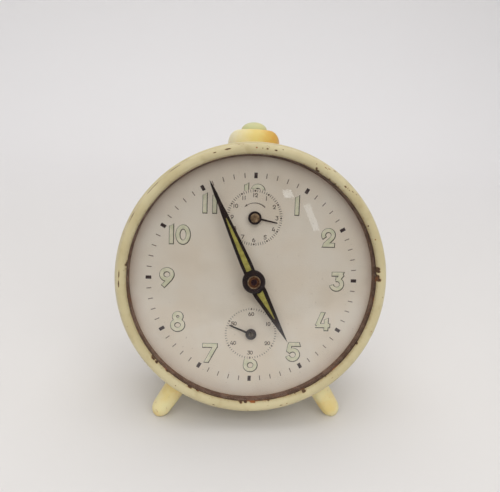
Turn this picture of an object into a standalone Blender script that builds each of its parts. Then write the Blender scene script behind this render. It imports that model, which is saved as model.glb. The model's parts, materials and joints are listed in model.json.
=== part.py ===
"""Wind-up alarm clock: a painted steel drum on two short legs, with its spring movement inside.

All lengths are in millimetres and become metres where a mesh is made. Pieces are placed in the
clock's own frame: x to the right and y up as the dial is read, z out towards the reader, with the
origin at the middle of the dial's face. The empty called stand leans that frame back and lifts it,
so that the clock stands on its two feet and the lower back edge of the drum at height 0.
"""

import math

import bmesh
import bpy
from mathutils import Matrix

MM = 0.001

# Stance
LEAN = 12.0                  # degrees the dial leans back
STAND_BACK = 18.4            # moves the clock so that its box is centred on the origin
STAND_UP = 54.55             # height of the dial's middle above the table

# Case
DRUM_RADIUS = 48.2
DRUM_WALL = 0.8
BEAD_RADIUS = 49.5
DRUM_BACK = -38.0
BACK_CORNER = 2.4
BEZEL_RADIUS = 48.8
LIP_RADIUS = 45.0
GLASS_RADIUS = 44.4
GLASS_RISE = 8.2
GLASS_WALL = 1.2
DIAL_RADIUS = 46.0
COVER_RADIUS = 46.2
FOOT_ANGLE = 32.5            # degrees either side of straight down
FOOT_PLACE = -6.0
FOOT_REACH = 64.7
BUTTON_PLACE = -14.0
ROUND_SIDES = 48             # sides of the large round pieces

# Movement
PLATE_RADIUS = 40.5
FRONT_PLATE = (-6.0, -7.2)
BACK_PLATE = (-31.2, -32.4)
CENTER = (0.0, 0.0)
THIRD = (7.17, -11.44)
FOURTH = (0.0, -20.4)
ESCAPE = (-8.55, -27.0)
PALLET = (-15.9, -25.6)
BALANCE = (-22.0, -24.0)
GREAT = (-21.5, 6.3)
ALARM_GREAT = (21.5, 6.3)
ALARM_SETTING = (0.0, 22.4)
STAR = (14.1, 26.6)
HAMMER = (5.0, 33.4)
MINUTE_WHEEL = (14.0, 0.0)
STOP_LEVER = (-8.0, 37.4)
PILLARS = ((33.0, -18.0), (-36.0, -11.0), (-22.0, 30.5), (24.5, 28.5))
DIAL_FEET = ((-31.0, 18.0), (31.0, 18.0), (-9.0, -36.0))
COVER_SCREWS = ((-33.0, -22.0), (32.0, -22.0))

TRAIN_MODULE = 0.8           # great wheels and the pinions that they drive
CENTER_MODULE = 0.5
THIRD_MODULE = 0.45
FOURTH_MODULE = 0.4
MINUTE_MODULE = 28.0 / 48.0  # cannon pinion and minute wheel
HOUR_MODULE = 22.4 / 48.0    # hour wheel, alarm wheel and the minute wheel's pinion

# Hands, as clock angles in degrees clockwise from 12
MINUTE_ANGLE = 335.0
HOUR_ANGLE = 149.5
ALARM_ANGLE = 103.0
SECONDS_ANGLE = 292.5


def clear_scene():
    """Remove everything that is in the scene."""
    for thing in list(bpy.data.objects):
        bpy.data.objects.remove(thing, do_unlink=True)


def make_collection(name):
    """Return a new collection linked to the scene."""
    group = bpy.data.collections.new(name)
    bpy.context.scene.collection.children.link(group)
    return group


def finish(name, colour, roughness, metallic):
    """Return the Principled material of that name, made on first use."""
    material = bpy.data.materials.get(name)
    if material is None:
        material = bpy.data.materials.new(name)
        material.use_nodes = True
        shader = material.node_tree.nodes["Principled BSDF"]
        shader.inputs["Base Color"].default_value = (*colour, 1.0)
        shader.inputs["Roughness"].default_value = roughness
        shader.inputs["Metallic"].default_value = metallic
    return material


def cream_paint():
    return finish("cream_paint", (0.61, 0.54, 0.31), 0.35, 0.0)


def foot_plastic():
    return finish("foot_plastic", (0.66, 0.55, 0.27), 0.4, 0.0)


def collar_plastic():
    return finish("collar_plastic", (0.73, 0.56, 0.17), 0.35, 0.0)


def button_plastic():
    return finish("button_plastic", (0.55, 0.58, 0.33), 0.4, 0.0)


def dial_print():
    return finish("dial_print", (0.50, 0.44, 0.37), 0.6, 0.0)


def clear_glass():
    return finish("clear_glass", (0.92, 0.95, 0.95), 0.03, 0.0)


def rusty_steel():
    return finish("rusty_steel", (0.13, 0.06, 0.03), 0.7, 0.4)


def black_paint():
    return finish("black_paint", (0.02, 0.02, 0.022), 0.3, 0.0)


def brass():
    return finish("brass", (0.66, 0.47, 0.20), 0.3, 1.0)


def steel():
    return finish("steel", (0.55, 0.55, 0.56), 0.3, 1.0)


def spring_steel():
    return finish("spring_steel", (0.16, 0.19, 0.27), 0.3, 1.0)


def circle(radius, sides, middle=(0.0, 0.0)):
    """Return the points of a round outline, anticlockwise."""
    turns = [2.0 * math.pi * step / sides for step in range(sides)]
    return [(middle[0] + radius * math.cos(a), middle[1] + radius * math.sin(a)) for a in turns]


def arc(radius, start, end, count, middle=(0.0, 0.0)):
    """Return points on an arc from start to end degrees."""
    angles = [math.radians(start + (end - start) * step / (count - 1)) for step in range(count)]
    return [(middle[0] + radius * math.cos(a), middle[1] + radius * math.sin(a)) for a in angles]


def wheel_outline(teeth, module, phase):
    """Return a wheel's outline with pointed teeth, one of them at phase degrees."""
    pitch_radius = teeth * module / 2.0
    points = []
    for step in range(2 * teeth):
        angle = math.radians(phase + 180.0 * step / teeth)
        radius = pitch_radius + (0.5 * module if step % 2 == 0 else -0.8 * module)
        points.append((radius * math.cos(angle), radius * math.sin(angle)))
    return points


def pinion_outline(teeth, module, phase):
    """Return a pinion's outline with narrow flat leaves, one of them at phase degrees."""
    pitch_radius = teeth * module / 2.0
    points = []
    for tooth in range(teeth):
        for share, rise in ((-0.2, -0.8), (-0.08, 0.5), (0.08, 0.5), (0.2, -0.8)):
            angle = math.radians(phase + 360.0 * (tooth + share) / teeth)
            radius = pitch_radius + rise * module
            points.append((radius * math.cos(angle), radius * math.sin(angle)))
    return points


def ratchet_outline(teeth, tip, root):
    """Return a ratchet's outline, each tooth steep on one side."""
    points = []
    for tooth in range(teeth):
        start = 2.0 * math.pi * tooth / teeth
        slope = start + 1.7 * math.pi / teeth
        points.append((tip * math.cos(start), tip * math.sin(start)))
        points.append((root * math.cos(slope), root * math.sin(slope)))
    return points


def spiral_outline(inner, outer, turns, per_turn, thickness, start):
    """Return the outline of a flat spiral strip from the inner to the outer radius."""
    count = int(turns * per_turn)
    outside = []
    inside = []
    for step in range(count + 1):
        share = step / count
        angle = math.radians(start) + 2.0 * math.pi * turns * share
        radius = inner + (outer - inner) * share
        for side, points in ((0.5, outside), (-0.5, inside)):
            reach = radius + side * thickness
            points.append((reach * math.cos(angle), reach * math.sin(angle)))
    return outside + inside[::-1]


def turn_points(points, degrees):
    """Return the points turned clockwise by that many degrees, as a clock hand turns."""
    angle = math.radians(-degrees)
    c, s = math.cos(angle), math.sin(angle)
    return [(c * x - s * y, s * x + c * y) for x, y in points]


def heading(start, end):
    """Return the direction in degrees from one arbor to another."""
    return math.degrees(math.atan2(end[1] - start[1], end[0] - start[0]))


def add_object(name, mesh, middle, material):
    """Link a mesh as a piece of the clock, with its origin on its own axis."""
    piece = bpy.data.objects.new(name, mesh)
    piece.parent = stand
    piece.location = (middle[0] * MM, middle[1] * MM, 0.0)
    if material is not None:
        mesh.materials.append(material)
    clock.objects.link(piece)
    return piece


def turned(name, profile, sides, material, middle=(0.0, 0.0)):
    """Turn a profile of (radius, z) points, run down its outer side, about the z axis."""
    mesh = bpy.data.meshes.new(name)
    points = [(radius * MM, 0.0, z * MM) for radius, z in profile]
    edges = [(step, step + 1) for step in range(len(points) - 1)]
    if profile[0][0] > 0.0:
        edges.append((len(points) - 1, 0))
    mesh.from_pydata(points, edges, [])
    piece = add_object(name, mesh, middle, material)
    screw = piece.modifiers.new("turn", "SCREW")
    screw.axis = "Z"
    screw.angle = 2.0 * math.pi
    screw.steps = sides
    screw.render_steps = sides
    screw.use_merge_vertices = True
    screw.merge_threshold = 0.00001
    screw.use_smooth_shade = True
    return piece


def rod(name, front, steps, sides, material, middle=(0.0, 0.0)):
    """Make a stepped round rod: steps are (radius, z of its back end) from the front backwards."""
    profile = [(0.0, front)]
    z = front
    for radius, back in steps:
        profile += [(radius, z), (radius, back)]
        z = back
    profile.append((0.0, z))
    return turned(name, profile, sides, material, middle)


def plate(name, outlines, front, back, material, middle=(0.0, 0.0)):
    """Make a flat piece between two heights from an outline and the holes in it."""
    curve = bpy.data.curves.new(name, "CURVE")
    curve.dimensions = "2D"
    curve.fill_mode = "BOTH"
    curve.extrude = (front - back) / 2.0 * MM
    for outline in outlines:
        spline = curve.splines.new("POLY")
        spline.points.add(len(outline) - 1)
        spline.use_cyclic_u = True
        for point, (x, y) in zip(spline.points, outline):
            point.co = (x * MM, y * MM, 0.0, 1.0)
    flat = bpy.data.objects.new(name + "_outline", curve)
    bpy.context.scene.collection.objects.link(flat)
    shape = flat.evaluated_get(bpy.context.evaluated_depsgraph_get())
    mesh = bpy.data.meshes.new_from_object(shape)
    mesh.name = name
    bpy.data.objects.remove(flat, do_unlink=True)
    solid = bmesh.new()
    solid.from_mesh(mesh)
    bmesh.ops.remove_doubles(solid, verts=solid.verts, dist=0.000001)
    bmesh.ops.recalc_face_normals(solid, faces=solid.faces)
    bmesh.ops.translate(solid, verts=solid.verts, vec=(0.0, 0.0, (front + back) / 2.0 * MM))
    solid.to_mesh(mesh)
    solid.free()
    mesh.materials.clear()
    return add_object(name, mesh, middle, material)


def make_tool(piece):
    """Keep a piece only as an operand of a Boolean."""
    clock.objects.unlink(piece)
    tools.objects.link(piece)
    piece.hide_render = True
    piece.display_type = "WIRE"


def combine(piece, others, operation):
    """Join the other pieces to a piece, or cut them from it."""
    for other in others:
        boolean = piece.modifiers.new(other.name, "BOOLEAN")
        boolean.operation = operation
        boolean.solver = "EXACT"
        boolean.object = other
        make_tool(other)
    return piece


def join(piece, *others):
    return combine(piece, others, "UNION")


def cut(piece, *others):
    return combine(piece, others, "DIFFERENCE")


def point_along(piece, turn, place):
    """Turn a piece about x so that its own z axis points along the clock's radius."""
    piece.rotation_euler = (math.radians(90.0), 0.0, math.radians(turn))
    piece.location = (0.0, 0.0, place * MM)
    return piece


def case_drum():
    """The drum: a rolled bead in front, a round back corner and a flange turned inwards."""
    inner = DRUM_RADIUS - DRUM_WALL
    corner = (DRUM_RADIUS - BACK_CORNER, DRUM_BACK + BACK_CORNER)
    profile = [(inner, 2.6), (49.0, 2.6), (BEAD_RADIUS, 1.9), (BEAD_RADIUS, 0.7), (49.0, 0.1)]
    profile.append((DRUM_RADIUS, -0.4))
    profile += arc(BACK_CORNER, 0.0, -90.0, 4, corner)
    profile += [(43.3, DRUM_BACK), (43.3, DRUM_BACK + DRUM_WALL)]
    profile += arc(BACK_CORNER - DRUM_WALL, -90.0, 0.0, 3, corner)
    drum = turned("case_drum", profile, ROUND_SIDES, cream_paint())
    holes = [point_along(rod("button_hole", 52.0, [(2.1, 40.0)], 12, None), 180.0, BUTTON_PLACE)]
    for name, turn in (("foot_hole_left", -FOOT_ANGLE), ("foot_hole_right", FOOT_ANGLE)):
        holes.append(point_along(rod(name, 52.0, [(1.9, 40.0)], 10, None), turn, FOOT_PLACE))
    return cut(drum, *holes)


def bezel():
    """The half-round front ring, with a skirt that slips into the drum."""
    crest = arc(1.9, 170.0, 10.0, 5, (46.9, 3.9))
    profile = [(LIP_RADIUS, 3.4), (LIP_RADIUS, 3.8)] + crest
    profile += [(BEZEL_RADIUS, 3.0), (47.0, 3.0), (47.0, -1.8), (46.6, -1.8), (46.6, 3.4)]
    return turned("bezel", profile, ROUND_SIDES, cream_paint())


def glass_height(radius, rim, rise):
    """Return the height of the domed glass, flatter in the middle than at its rim."""
    return rim + rise * (1.0 - (radius / GLASS_RADIUS) ** 2.6)


def glass():
    """The domed front glass with its flat rim."""
    reach = [0.0, 18.0, 30.0, 38.0, 42.0]
    outer = [(radius, glass_height(radius, 3.3, GLASS_RISE)) for radius in reach]
    inner = [(radius, glass_height(radius, 3.3 - GLASS_WALL, GLASS_RISE)) for radius in reach]
    rim = [(GLASS_RADIUS, 3.1), (46.3, 3.1), (46.3, 2.0), (GLASS_RADIUS - 0.6, 2.0)]
    return turned("glass", outer + rim + inner[::-1], 40, clear_glass())


def glass_ring():
    """The spring ring between the glass and the dial."""
    profile = [(44.6, 1.7), (46.2, 1.7), (46.2, 0.3), (44.6, 0.3)]
    return turned("glass_ring", profile, ROUND_SIDES, rusty_steel())


def dial():
    """The dial with its three soldered feet."""
    holes = [circle(2.9, 12), circle(1.3, 8, ALARM_SETTING), circle(1.0, 8, FOURTH)]
    disc = plate("dial", [circle(DIAL_RADIUS, ROUND_SIDES)] + holes, 0.0, -0.5, dial_print())
    feet = [rod("dial_post", -0.2, [(1.2, -6.8)], 8, None, place) for place in DIAL_FEET]
    return join(disc, *feet)


def back_cover():
    """The sounding back cover, a shallow dish with holes for the keys and knobs."""
    profile = [(0.0, -37.8), (41.2, -37.8), (42.3, -37.0), (42.3, -36.2), (COVER_RADIUS, -36.2)]
    profile += [(COVER_RADIUS, -36.8), (42.9, -36.8), (42.9, -37.4), (41.5, -38.4), (0.0, -38.4)]
    cover = turned("back_cover", profile, ROUND_SIDES, cream_paint())
    places = [(CENTER, 1.3), (ALARM_SETTING, 1.3), (GREAT, 2.2), (ALARM_GREAT, 2.2)]
    places += [(place, 1.3) for place in COVER_SCREWS]
    holes = [rod("cover_hole", -34.0, [(size, -42.0)], 10, None, place) for place, size in places]
    slot = arc(10.2, -28.0, 28.0, 7) + arc(7.8, 28.0, -28.0, 7)
    holes.append(plate("regulator_slot", [slot], -34.0, -42.0, None, BALANCE))
    return cut(cover, *holes)


def gong_stud():
    """The stud riveted inside the back cover, which the hammer strikes."""
    return rod("gong_stud", -33.6, [(1.3, -37.5)], 10, steel(), (-14.6, 34.6))


def table_block(name):
    """A block under height 0, in world space, that trims a foot to a flat sole."""
    size = 160.0 * MM
    mesh = bpy.data.meshes.new(name)
    block = bmesh.new()
    bmesh.ops.create_cube(block, size=size)
    bmesh.ops.translate(block, verts=block.verts, vec=(0.0, 0.0, -size / 2.0))
    block.to_mesh(mesh)
    block.free()
    table = add_object(name, mesh, (0.0, 0.0), None)
    table.parent = None
    return table


def foot(name, side):
    """A tapered leg with a round tip and a small flat sole, and the stud moulded in its top."""
    tip = arc(3.0, 0.0, 90.0, 4, (0.0, FOOT_REACH - 3.0))
    outside = [(0.0, 45.0), (1.4, 45.0), (1.4, 48.8), (3.9, 48.8), (3.7, 56.0)]
    leg = turned(name, (outside + tip)[::-1], 20, foot_plastic())
    point_along(leg, side * FOOT_ANGLE, FOOT_PLACE)
    return cut(leg, table_block(name + "_table"))


def foot_nut(name, side):
    """The nut inside the drum that holds a foot."""
    nut = plate(name, [circle(3.4, 6), circle(1.75, 8)], -45.4, -47.0, steel())
    return point_along(nut, side * FOOT_ANGLE + 180.0, FOOT_PLACE)


def button_collar():
    """The domed collar on top of the drum, bored for the push button."""
    turns = [math.radians(angle) for angle in (90.0, 62.0, 38.0, 18.0, 0.0)]
    shoulder = [(5.9 + 3.85 * math.cos(a), 49.6 + 5.0 * math.sin(a)) for a in turns]
    profile = [(5.5, 54.6)] + shoulder + [(9.75, 46.0), (5.5, 46.0)]
    collar = turned("button_collar", profile, 32, collar_plastic())
    point_along(collar, 180.0, BUTTON_PLACE)
    return cut(collar, rod("drum_shape", 5.0, [(DRUM_RADIUS + 0.3, -40.0)], 64, None))


def stop_button():
    """The push button with its stem, which runs down into the drum."""
    profile = [(0.0, 57.7), (2.4, 57.3), (4.1, 56.2), (5.0, 54.7), (5.0, 52.4), (1.5, 52.4)]
    profile += [(1.5, 44.2), (0.0, 44.2)]
    button = turned("stop_button", profile, 20, button_plastic())
    return point_along(button, 180.0, BUTTON_PLACE)


def stop_lever():
    """The lever under the button's stem, on its own arbor."""
    arm = [(-1.6, -1.2), (1.2, -1.6), (9.6, 4.4), (9.6, 6.2), (6.4, 6.2), (-1.2, 1.6)]
    lever = plate("stop_lever", [arm], -13.0, -15.0, steel(), STOP_LEVER)
    return join(lever, rod("stop_arbor", -6.4, [(0.8, -15.8)], 8, None, STOP_LEVER))


def movement_plate(name, heights, through):
    """A round plate with holes for the arbors and the pillars."""
    outlines = [circle(PLATE_RADIUS, 40)]
    outlines += [circle(size, 8, place) for place, size in through]
    return plate(name, outlines, heights[0], heights[1], brass())


def movement_plates():
    """The two plates that hold the train."""
    shared = [(CENTER, 1.3), (ALARM_SETTING, 1.3), (GREAT, 2.1), (ALARM_GREAT, 2.1)]
    shared += [(place, 0.95) for place in (THIRD, FOURTH, ESCAPE, PALLET, BALANCE, STAR)]
    shared += [(HAMMER, 1.1)] + [(place, 1.5) for place in PILLARS]
    front = shared + [(MINUTE_WHEEL, 1.1), (STOP_LEVER, 1.3)]
    front += [(place, 1.7) for place in DIAL_FEET]
    movement_plate("front_plate", FRONT_PLATE, front)
    movement_plate("back_plate", BACK_PLATE, shared)


def pillars():
    """The four turned pillars between the plates."""
    names = ("pillar_right", "pillar_left", "pillar_upper_left", "pillar_upper_right")
    for name, place in zip(names, PILLARS):
        steps = [(1.1, -7.5), (1.8, -30.9), (1.1, -33.0)]
        rod(name, -5.4, steps, 10, brass(), place)


def arbor_wheel(name, middle, front, steps, gears):
    """An arbor with its wheels and pinions as one piece: gears are (outline, front, back)."""
    arbor = rod(name, front, steps, 10, brass(), middle)
    others = [plate(name + "_gear", [line], top, low, None, middle) for line, top, low in gears]
    return join(arbor, *others)


def motion_work():
    """The wheels under the dial that turn the hour hand from the minute arbor."""
    rod("center_arbor", 6.9, [(0.8, -46.6)], 12, steel())
    cannon = plate("cannon_pinion", [pinion_outline(12, MINUTE_MODULE, 0.0), circle(1.15, 12)],
                   -3.4, -5.4, brass())
    join(cannon, pipe("cannon_pipe", 1.6, 1.15, 5.7, -3.6))
    minute_gears = [(wheel_outline(36, MINUTE_MODULE, 185.0), -4.0, -4.8),
                    (pinion_outline(12, HOUR_MODULE, 195.0), -1.0, -4.2)]
    arbor_wheel("minute_wheel", MINUTE_WHEEL, -0.9, [(0.7, -7.0)], minute_gears)
    hour = plate("hour_wheel", [wheel_outline(48, HOUR_MODULE, 0.0), circle(1.95, 12)],
                 -1.3, -2.1, brass())
    join(hour, pipe("hour_pipe", 2.5, 1.95, 3.7, -1.5))
    alarm = [wheel_outline(48, HOUR_MODULE, 273.75), circle(1.15, 10)]
    plate("alarm_wheel", alarm, -1.3, -2.1, brass(), ALARM_SETTING)


def pipe(name, outer, inner, front, back):
    """A plain tube on the clock's middle axis."""
    profile = [(inner, front), (outer, front), (outer, back), (inner, back)]
    return turned(name, profile, 12, None)


def going_train():
    """The wheels from the great wheel to the escape wheel."""
    center = plate("center_wheel", [wheel_outline(48, CENTER_MODULE, heading(CENTER, THIRD)),
                                    circle(1.15, 10)], -10.0, -10.8, brass())
    leaf = heading(CENTER, GREAT) + 180.0 / 8.0
    join(center, plate("center_pinion", [pinion_outline(8, TRAIN_MODULE, leaf), circle(1.15, 10)],
                       -10.4, -15.8, None))
    third = [(wheel_outline(45, THIRD_MODULE, heading(THIRD, FOURTH)), -8.2, -9.0),
             (pinion_outline(6, CENTER_MODULE, heading(THIRD, CENTER) + 30.0), -9.6, -11.2)]
    arbor_wheel("third_wheel", THIRD, -6.3, [(0.55, -32.2)], third)
    fourth = [(wheel_outline(48, FOURTH_MODULE, heading(FOURTH, ESCAPE)), -11.9, -12.7),
              (pinion_outline(6, THIRD_MODULE, heading(FOURTH, THIRD) + 30.0), -7.8, -9.4)]
    arbor_wheel("fourth_wheel", FOURTH, 1.0, [(0.5, -32.2)], fourth)
    escape = [(ratchet_outline(15, 5.5, 4.2), -24.0, -24.7),
              (pinion_outline(6, FOURTH_MODULE, heading(ESCAPE, FOURTH) + 30.0), -11.5, -13.1)]
    arbor_wheel("escape_wheel", ESCAPE, -6.3, [(0.45, -32.2)], escape)


def escapement():
    """The pallet lever, the balance with its staff and hairspring, and the regulator."""
    lever = [(-5.4, -1.0), (-0.9, -1.2), (1.4, -4.2), (2.2, -4.0), (1.0, 0.0), (1.4, 4.2),
             (0.5, 4.4), (-0.9, 1.2), (-5.4, 1.0), (-4.0, 0.0)]
    pallet = plate("pallet_lever", [lever], -24.0, -24.8, steel(), PALLET)
    join(pallet, rod("pallet_arbor", -23.0, [(0.45, -32.2)], 8, None, PALLET))
    rim = [circle(9.0, 32)]
    for middle in (0.0, 180.0):
        rim.append(arc(7.7, middle + 12.0, middle + 168.0, 11) + arc(1.9, middle + 140.0,
                                                                    middle + 40.0, 4))
    rim.append(circle(0.85, 8))
    plate("balance_wheel", rim, -20.0, -21.4, brass(), BALANCE)
    rod("balance_staff", -6.3, [(0.5, -32.2)], 8, steel(), BALANCE)
    coils = spiral_outline(1.3, 4.9, 4.0, 10, 0.25, 0.0)
    plate("hairspring", [coils], -22.2, -22.8, spring_steel(), BALANCE)
    arm = arc(2.6, 25.0, 335.0, 10) + [(9.6, -0.7), (9.6, 0.7)]
    lever = plate("regulator_lever", [arm, circle(1.2, 8)], -33.0, -33.6, steel(), BALANCE)
    pin = rod("regulator_pin", -33.3, [(0.8, -40.6)], 8, None, BALANCE)
    pin.location.x += 9.0 * MM
    join(lever, pin)


def spring_side(prefix, middle, wheel_front, leaf_phase):
    """One great wheel with its ratchet, click, mainspring, winding arbor and key."""
    back = wheel_front - 1.2
    great = [wheel_outline(48, TRAIN_MODULE, leaf_phase), circle(2.0, 10), circle(1.1, 8, (9.4, 9.4))]
    plate(prefix + "great_wheel", great, wheel_front, back, brass(), middle)
    ratchet = [ratchet_outline(14, 6.0, 4.9), circle(2.0, 10)]
    plate(prefix + "ratchet_wheel", ratchet, wheel_front + 1.4, wheel_front + 0.4, steel(), middle)
    foot_place = (middle[0] + 9.4, middle[1] + 9.4)
    tooth = [(-3.2, -5.0), (-1.6, -2.6), (1.4, -1.2), (1.6, 1.0), (0.0, 1.8), (-1.6, 0.8),
             (-4.4, -4.0)]
    click = plate(prefix + "click", [tooth], wheel_front + 1.4, wheel_front + 0.4, steel(), foot_place)
    join(click, rod(prefix + "click_stud", wheel_front + 0.9, [(0.7, back + 0.1)], 8, None, foot_place))
    coils = spiral_outline(2.8, 16.6, 5.0, 10, 0.6, 0.0)
    plate(prefix + "mainspring", [coils], back - 1.0, -29.8, spring_steel(), middle)
    rod(prefix + "winding_arbor", -6.2, [(1.6, -44.2)], 10, steel(), middle)
    key = rod(prefix + "winding_key", -39.4, [(2.7, -45.6)], 12, brass(), middle)
    wings = plate(prefix + "key_wings", [key_outline()], 0.8, -0.8, None, middle)
    wings.rotation_euler = (math.radians(90.0), 0.0, 0.0)
    join(key, wings)
    cut(key, rod(prefix + "key_bore", -38.0, [(2.0, -44.6)], 10, None, middle))


def key_outline():
    """The outline of a key's two wings, seen from the side: y is depth here."""
    right = [(1.5, -43.4), (4.0, -42.6), (8.6, -42.4), (10.2, -44.2), (10.4, -49.6), (8.8, -52.0)]
    right += [(5.0, -51.8), (1.5, -48.6)]
    return right + [(-x, y) for x, y in right[::-1]]


def springs():
    """The time spring on the left and the alarm spring on the right."""
    spring_side("", GREAT, -14.0, heading(GREAT, CENTER))
    spring_side("alarm_", ALARM_GREAT, -16.7, heading(ALARM_GREAT, STAR))


def alarm_work():
    """The star wheel and the hammer that it rocks, and the alarm arbor."""
    star = [(ratchet_outline(14, 5.2, 4.0), -9.0, -10.0),
            (pinion_outline(6, TRAIN_MODULE, heading(STAR, ALARM_GREAT) + 30.0), -16.2, -18.4)]
    arbor_wheel("star_wheel", STAR, -6.3, [(0.55, -32.2)], star)
    hammer = rod("hammer", -6.3, [(0.6, -36.6)], 8, steel(), HAMMER)
    verge = [(-1.2, -1.0), (2.6, -2.6), (3.4, -1.4), (0.6, 1.4), (-1.0, 1.2)]
    arm = [(0.8, -1.2), (0.8, 1.2), (-14.0, 2.9), (-16.2, 3.4), (-17.4, 1.6), (-16.2, -0.2),
           (-14.0, 0.9)]
    join(hammer, plate("verge", [verge], -9.0, -10.0, None, HAMMER),
         plate("hammer_arm", [arm], -34.2, -36.2, None, HAMMER))
    rod("alarm_arbor", 2.0, [(0.8, -46.6)], 10, steel(), ALARM_SETTING)


def bend_down(piece, drop, length):
    """Lower a hand towards its tip by drop, as the square of the distance from its hub."""
    for vertex in piece.data.vertices:
        reach = math.hypot(vertex.co.x, vertex.co.y) / (length * MM)
        vertex.co.z -= drop * MM * reach ** 2
    return piece


def blade(widths, hub):
    """A hand's outline from its half widths by distance, closed round its hub."""
    first = math.degrees(math.asin(widths[0][1] / hub))
    right = [(half, reach) for reach, half in widths]
    left = [(-half, reach) for reach, half in widths[::-1] if half > 0.0]
    return right + left + arc(hub, 90.0 + first, 450.0 - first, 14)[1:-1]


def hands():
    """The four hands, turned to the time that the clock shows."""
    minute = [(7.4, 2.1), (16.0, 1.7), (24.0, 1.2), (30.0, 0.75), (37.0, 0.4), (39.0, 0.0)]
    minute = turn_points(blade(minute, 4.1), MINUTE_ANGLE)
    bend_down(plate("minute_hand", [minute, circle(2.0, 12)], 6.3, 5.9, black_paint()), 2.4, 39.0)
    hour = [(6.2, 2.5), (10.3, 1.95), (16.2, 1.25), (22.4, 0.5), (26.0, 0.0)]
    hour = turn_points(blade(hour, 4.0), HOUR_ANGLE)
    plate("hour_hand", [hour, circle(2.85, 12)], 4.3, 3.9, black_paint())
    needle("alarm_hand", ALARM_SETTING, ALARM_ANGLE, 9.2, 2.4, 1.1)
    needle("seconds_hand", FOURTH, SECONDS_ANGLE, 8.4, 2.0, 0.8)


def needle(name, middle, angle, length, hub, bore):
    """A small needle hand with a round hub."""
    line = turn_points(blade([(hub, 0.25), (length, 0.18)], hub + 0.01), angle)
    return plate(name, [line, circle(bore, 8)], 1.5, 0.9, black_paint(), middle)


def knob(name, middle):
    """A small knurled setting knob."""
    rim = [(5.6 if step % 2 else 5.2, step * 11.25) for step in range(32)]
    outline = [(r * math.cos(math.radians(a)), r * math.sin(math.radians(a))) for r, a in rim]
    body = plate(name, [outline], -41.6, -46.4, brass(), middle)
    join(body, rod(name + "_boss", -39.6, [(3.0, -42.0)], 12, None, middle))
    return cut(body, rod(name + "_bore", -39.0, [(1.15, -47.2)], 10, None, middle))


def cover_screws():
    """The two screws that hold the back cover."""
    for name, place in zip(("cover_screw_left", "cover_screw_right"), COVER_SCREWS):
        rod(name, -33.0, [(0.9, -38.8), (2.2, -39.8)], 10, steel(), place)


def build():
    """Make every piece of the clock."""
    case_drum()
    bezel()
    glass()
    glass_ring()
    dial()
    back_cover()
    gong_stud()
    for side, word in ((-1, "left"), (1, "right")):
        foot("foot_" + word, side)
        foot_nut("foot_nut_" + word, side)
    button_collar()
    stop_button()
    stop_lever()
    movement_plates()
    pillars()
    motion_work()
    going_train()
    escapement()
    springs()
    alarm_work()
    hands()
    knob("setting_knob", CENTER)
    knob("alarm_knob", ALARM_SETTING)
    cover_screws()


clear_scene()
clock = make_collection("alarm_clock")
tools = make_collection("cutters")
stand = bpy.data.objects.new("stand", None)
clock.objects.link(stand)
stand.matrix_world = (Matrix.Translation((0.0, -STAND_BACK * MM, STAND_UP * MM))
                      @ Matrix.Rotation(math.radians(90.0 - LEAN), 4, "X"))
build()
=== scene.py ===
"""The looks of a wind-up alarm clock: a cream painted drum on two short legs, with a printed dial.

Each section makes one piece of the clock, or one group of like pieces, in the order in which the
clock is put together. Lengths are in millimetres in the clock's own directions: x to the right and
y up as the dial is read, and z out of the dial towards the reader. on_clock() turns them into
places in the frame.
"""

import json
import math

import bmesh
import bpy
import numpy as np
from mathutils import Matrix


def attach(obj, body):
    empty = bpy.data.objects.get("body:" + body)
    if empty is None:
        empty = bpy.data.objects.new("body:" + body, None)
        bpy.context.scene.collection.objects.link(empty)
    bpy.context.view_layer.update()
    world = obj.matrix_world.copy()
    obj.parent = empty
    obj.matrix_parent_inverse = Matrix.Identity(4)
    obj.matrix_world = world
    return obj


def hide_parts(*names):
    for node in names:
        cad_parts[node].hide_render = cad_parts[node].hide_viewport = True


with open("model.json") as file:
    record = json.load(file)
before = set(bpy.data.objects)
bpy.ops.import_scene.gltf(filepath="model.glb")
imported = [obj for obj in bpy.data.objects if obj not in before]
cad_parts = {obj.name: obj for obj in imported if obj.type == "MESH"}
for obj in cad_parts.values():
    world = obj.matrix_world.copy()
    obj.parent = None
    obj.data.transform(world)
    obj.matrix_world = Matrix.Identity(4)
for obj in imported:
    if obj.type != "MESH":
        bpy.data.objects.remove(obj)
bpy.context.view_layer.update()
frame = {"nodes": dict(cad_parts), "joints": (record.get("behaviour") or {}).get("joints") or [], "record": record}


# ----------------------------------------
# The movement: two round brass plates on four pillars, with the time and the alarm trains between
# them. Its wheels are stamped brass, its arbors, levers and clicks are turned and cut steel, and
# its springs are blued. It is shut up in the case and keeps its working shape.

BRASS_LIGHT, BRASS_DARK = (202, 168, 104), (150, 112, 58)
STEEL_LIGHT, STEEL_DARK = (186, 184, 180), (122, 118, 114)
BLUED_LIGHT, BLUED_DARK = (86, 96, 132), (48, 52, 80)


def linear(colour):
    """A screen colour of 0 to 255 as light: ((c + 0.055) / 1.055) to the power 2.4, with alpha."""
    share = (np.array(colour) / 255.0 + 0.055) / 1.055
    return (*(share ** 2.4).tolist(), 1.0)


def start_finish(name, roughness, metallic=0.0, **settings):
    """A new material whose Principled shader has these plain values on its own sockets."""
    material = bpy.data.materials.new(name)
    material.use_nodes = True
    shader = material.node_tree.nodes["Principled BSDF"]
    shader.inputs["Roughness"].default_value = roughness
    shader.inputs["Metallic"].default_value = metallic
    for socket, value in settings.items():
        shader.inputs[socket.replace("_", " ")].default_value = value
    return material


def node(material, kind, sockets, **settings):
    """Add a node: sockets maps each input to a value or to the output that feeds it."""
    made = material.node_tree.nodes.new("ShaderNode" + kind)
    for option, value in settings.items():
        setattr(made, option, value)
    for place, value in sockets.items():
        if isinstance(value, bpy.types.NodeSocket):
            material.node_tree.links.new(value, made.inputs[place])
        else:
            made.inputs[place].default_value = value
    return made


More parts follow.
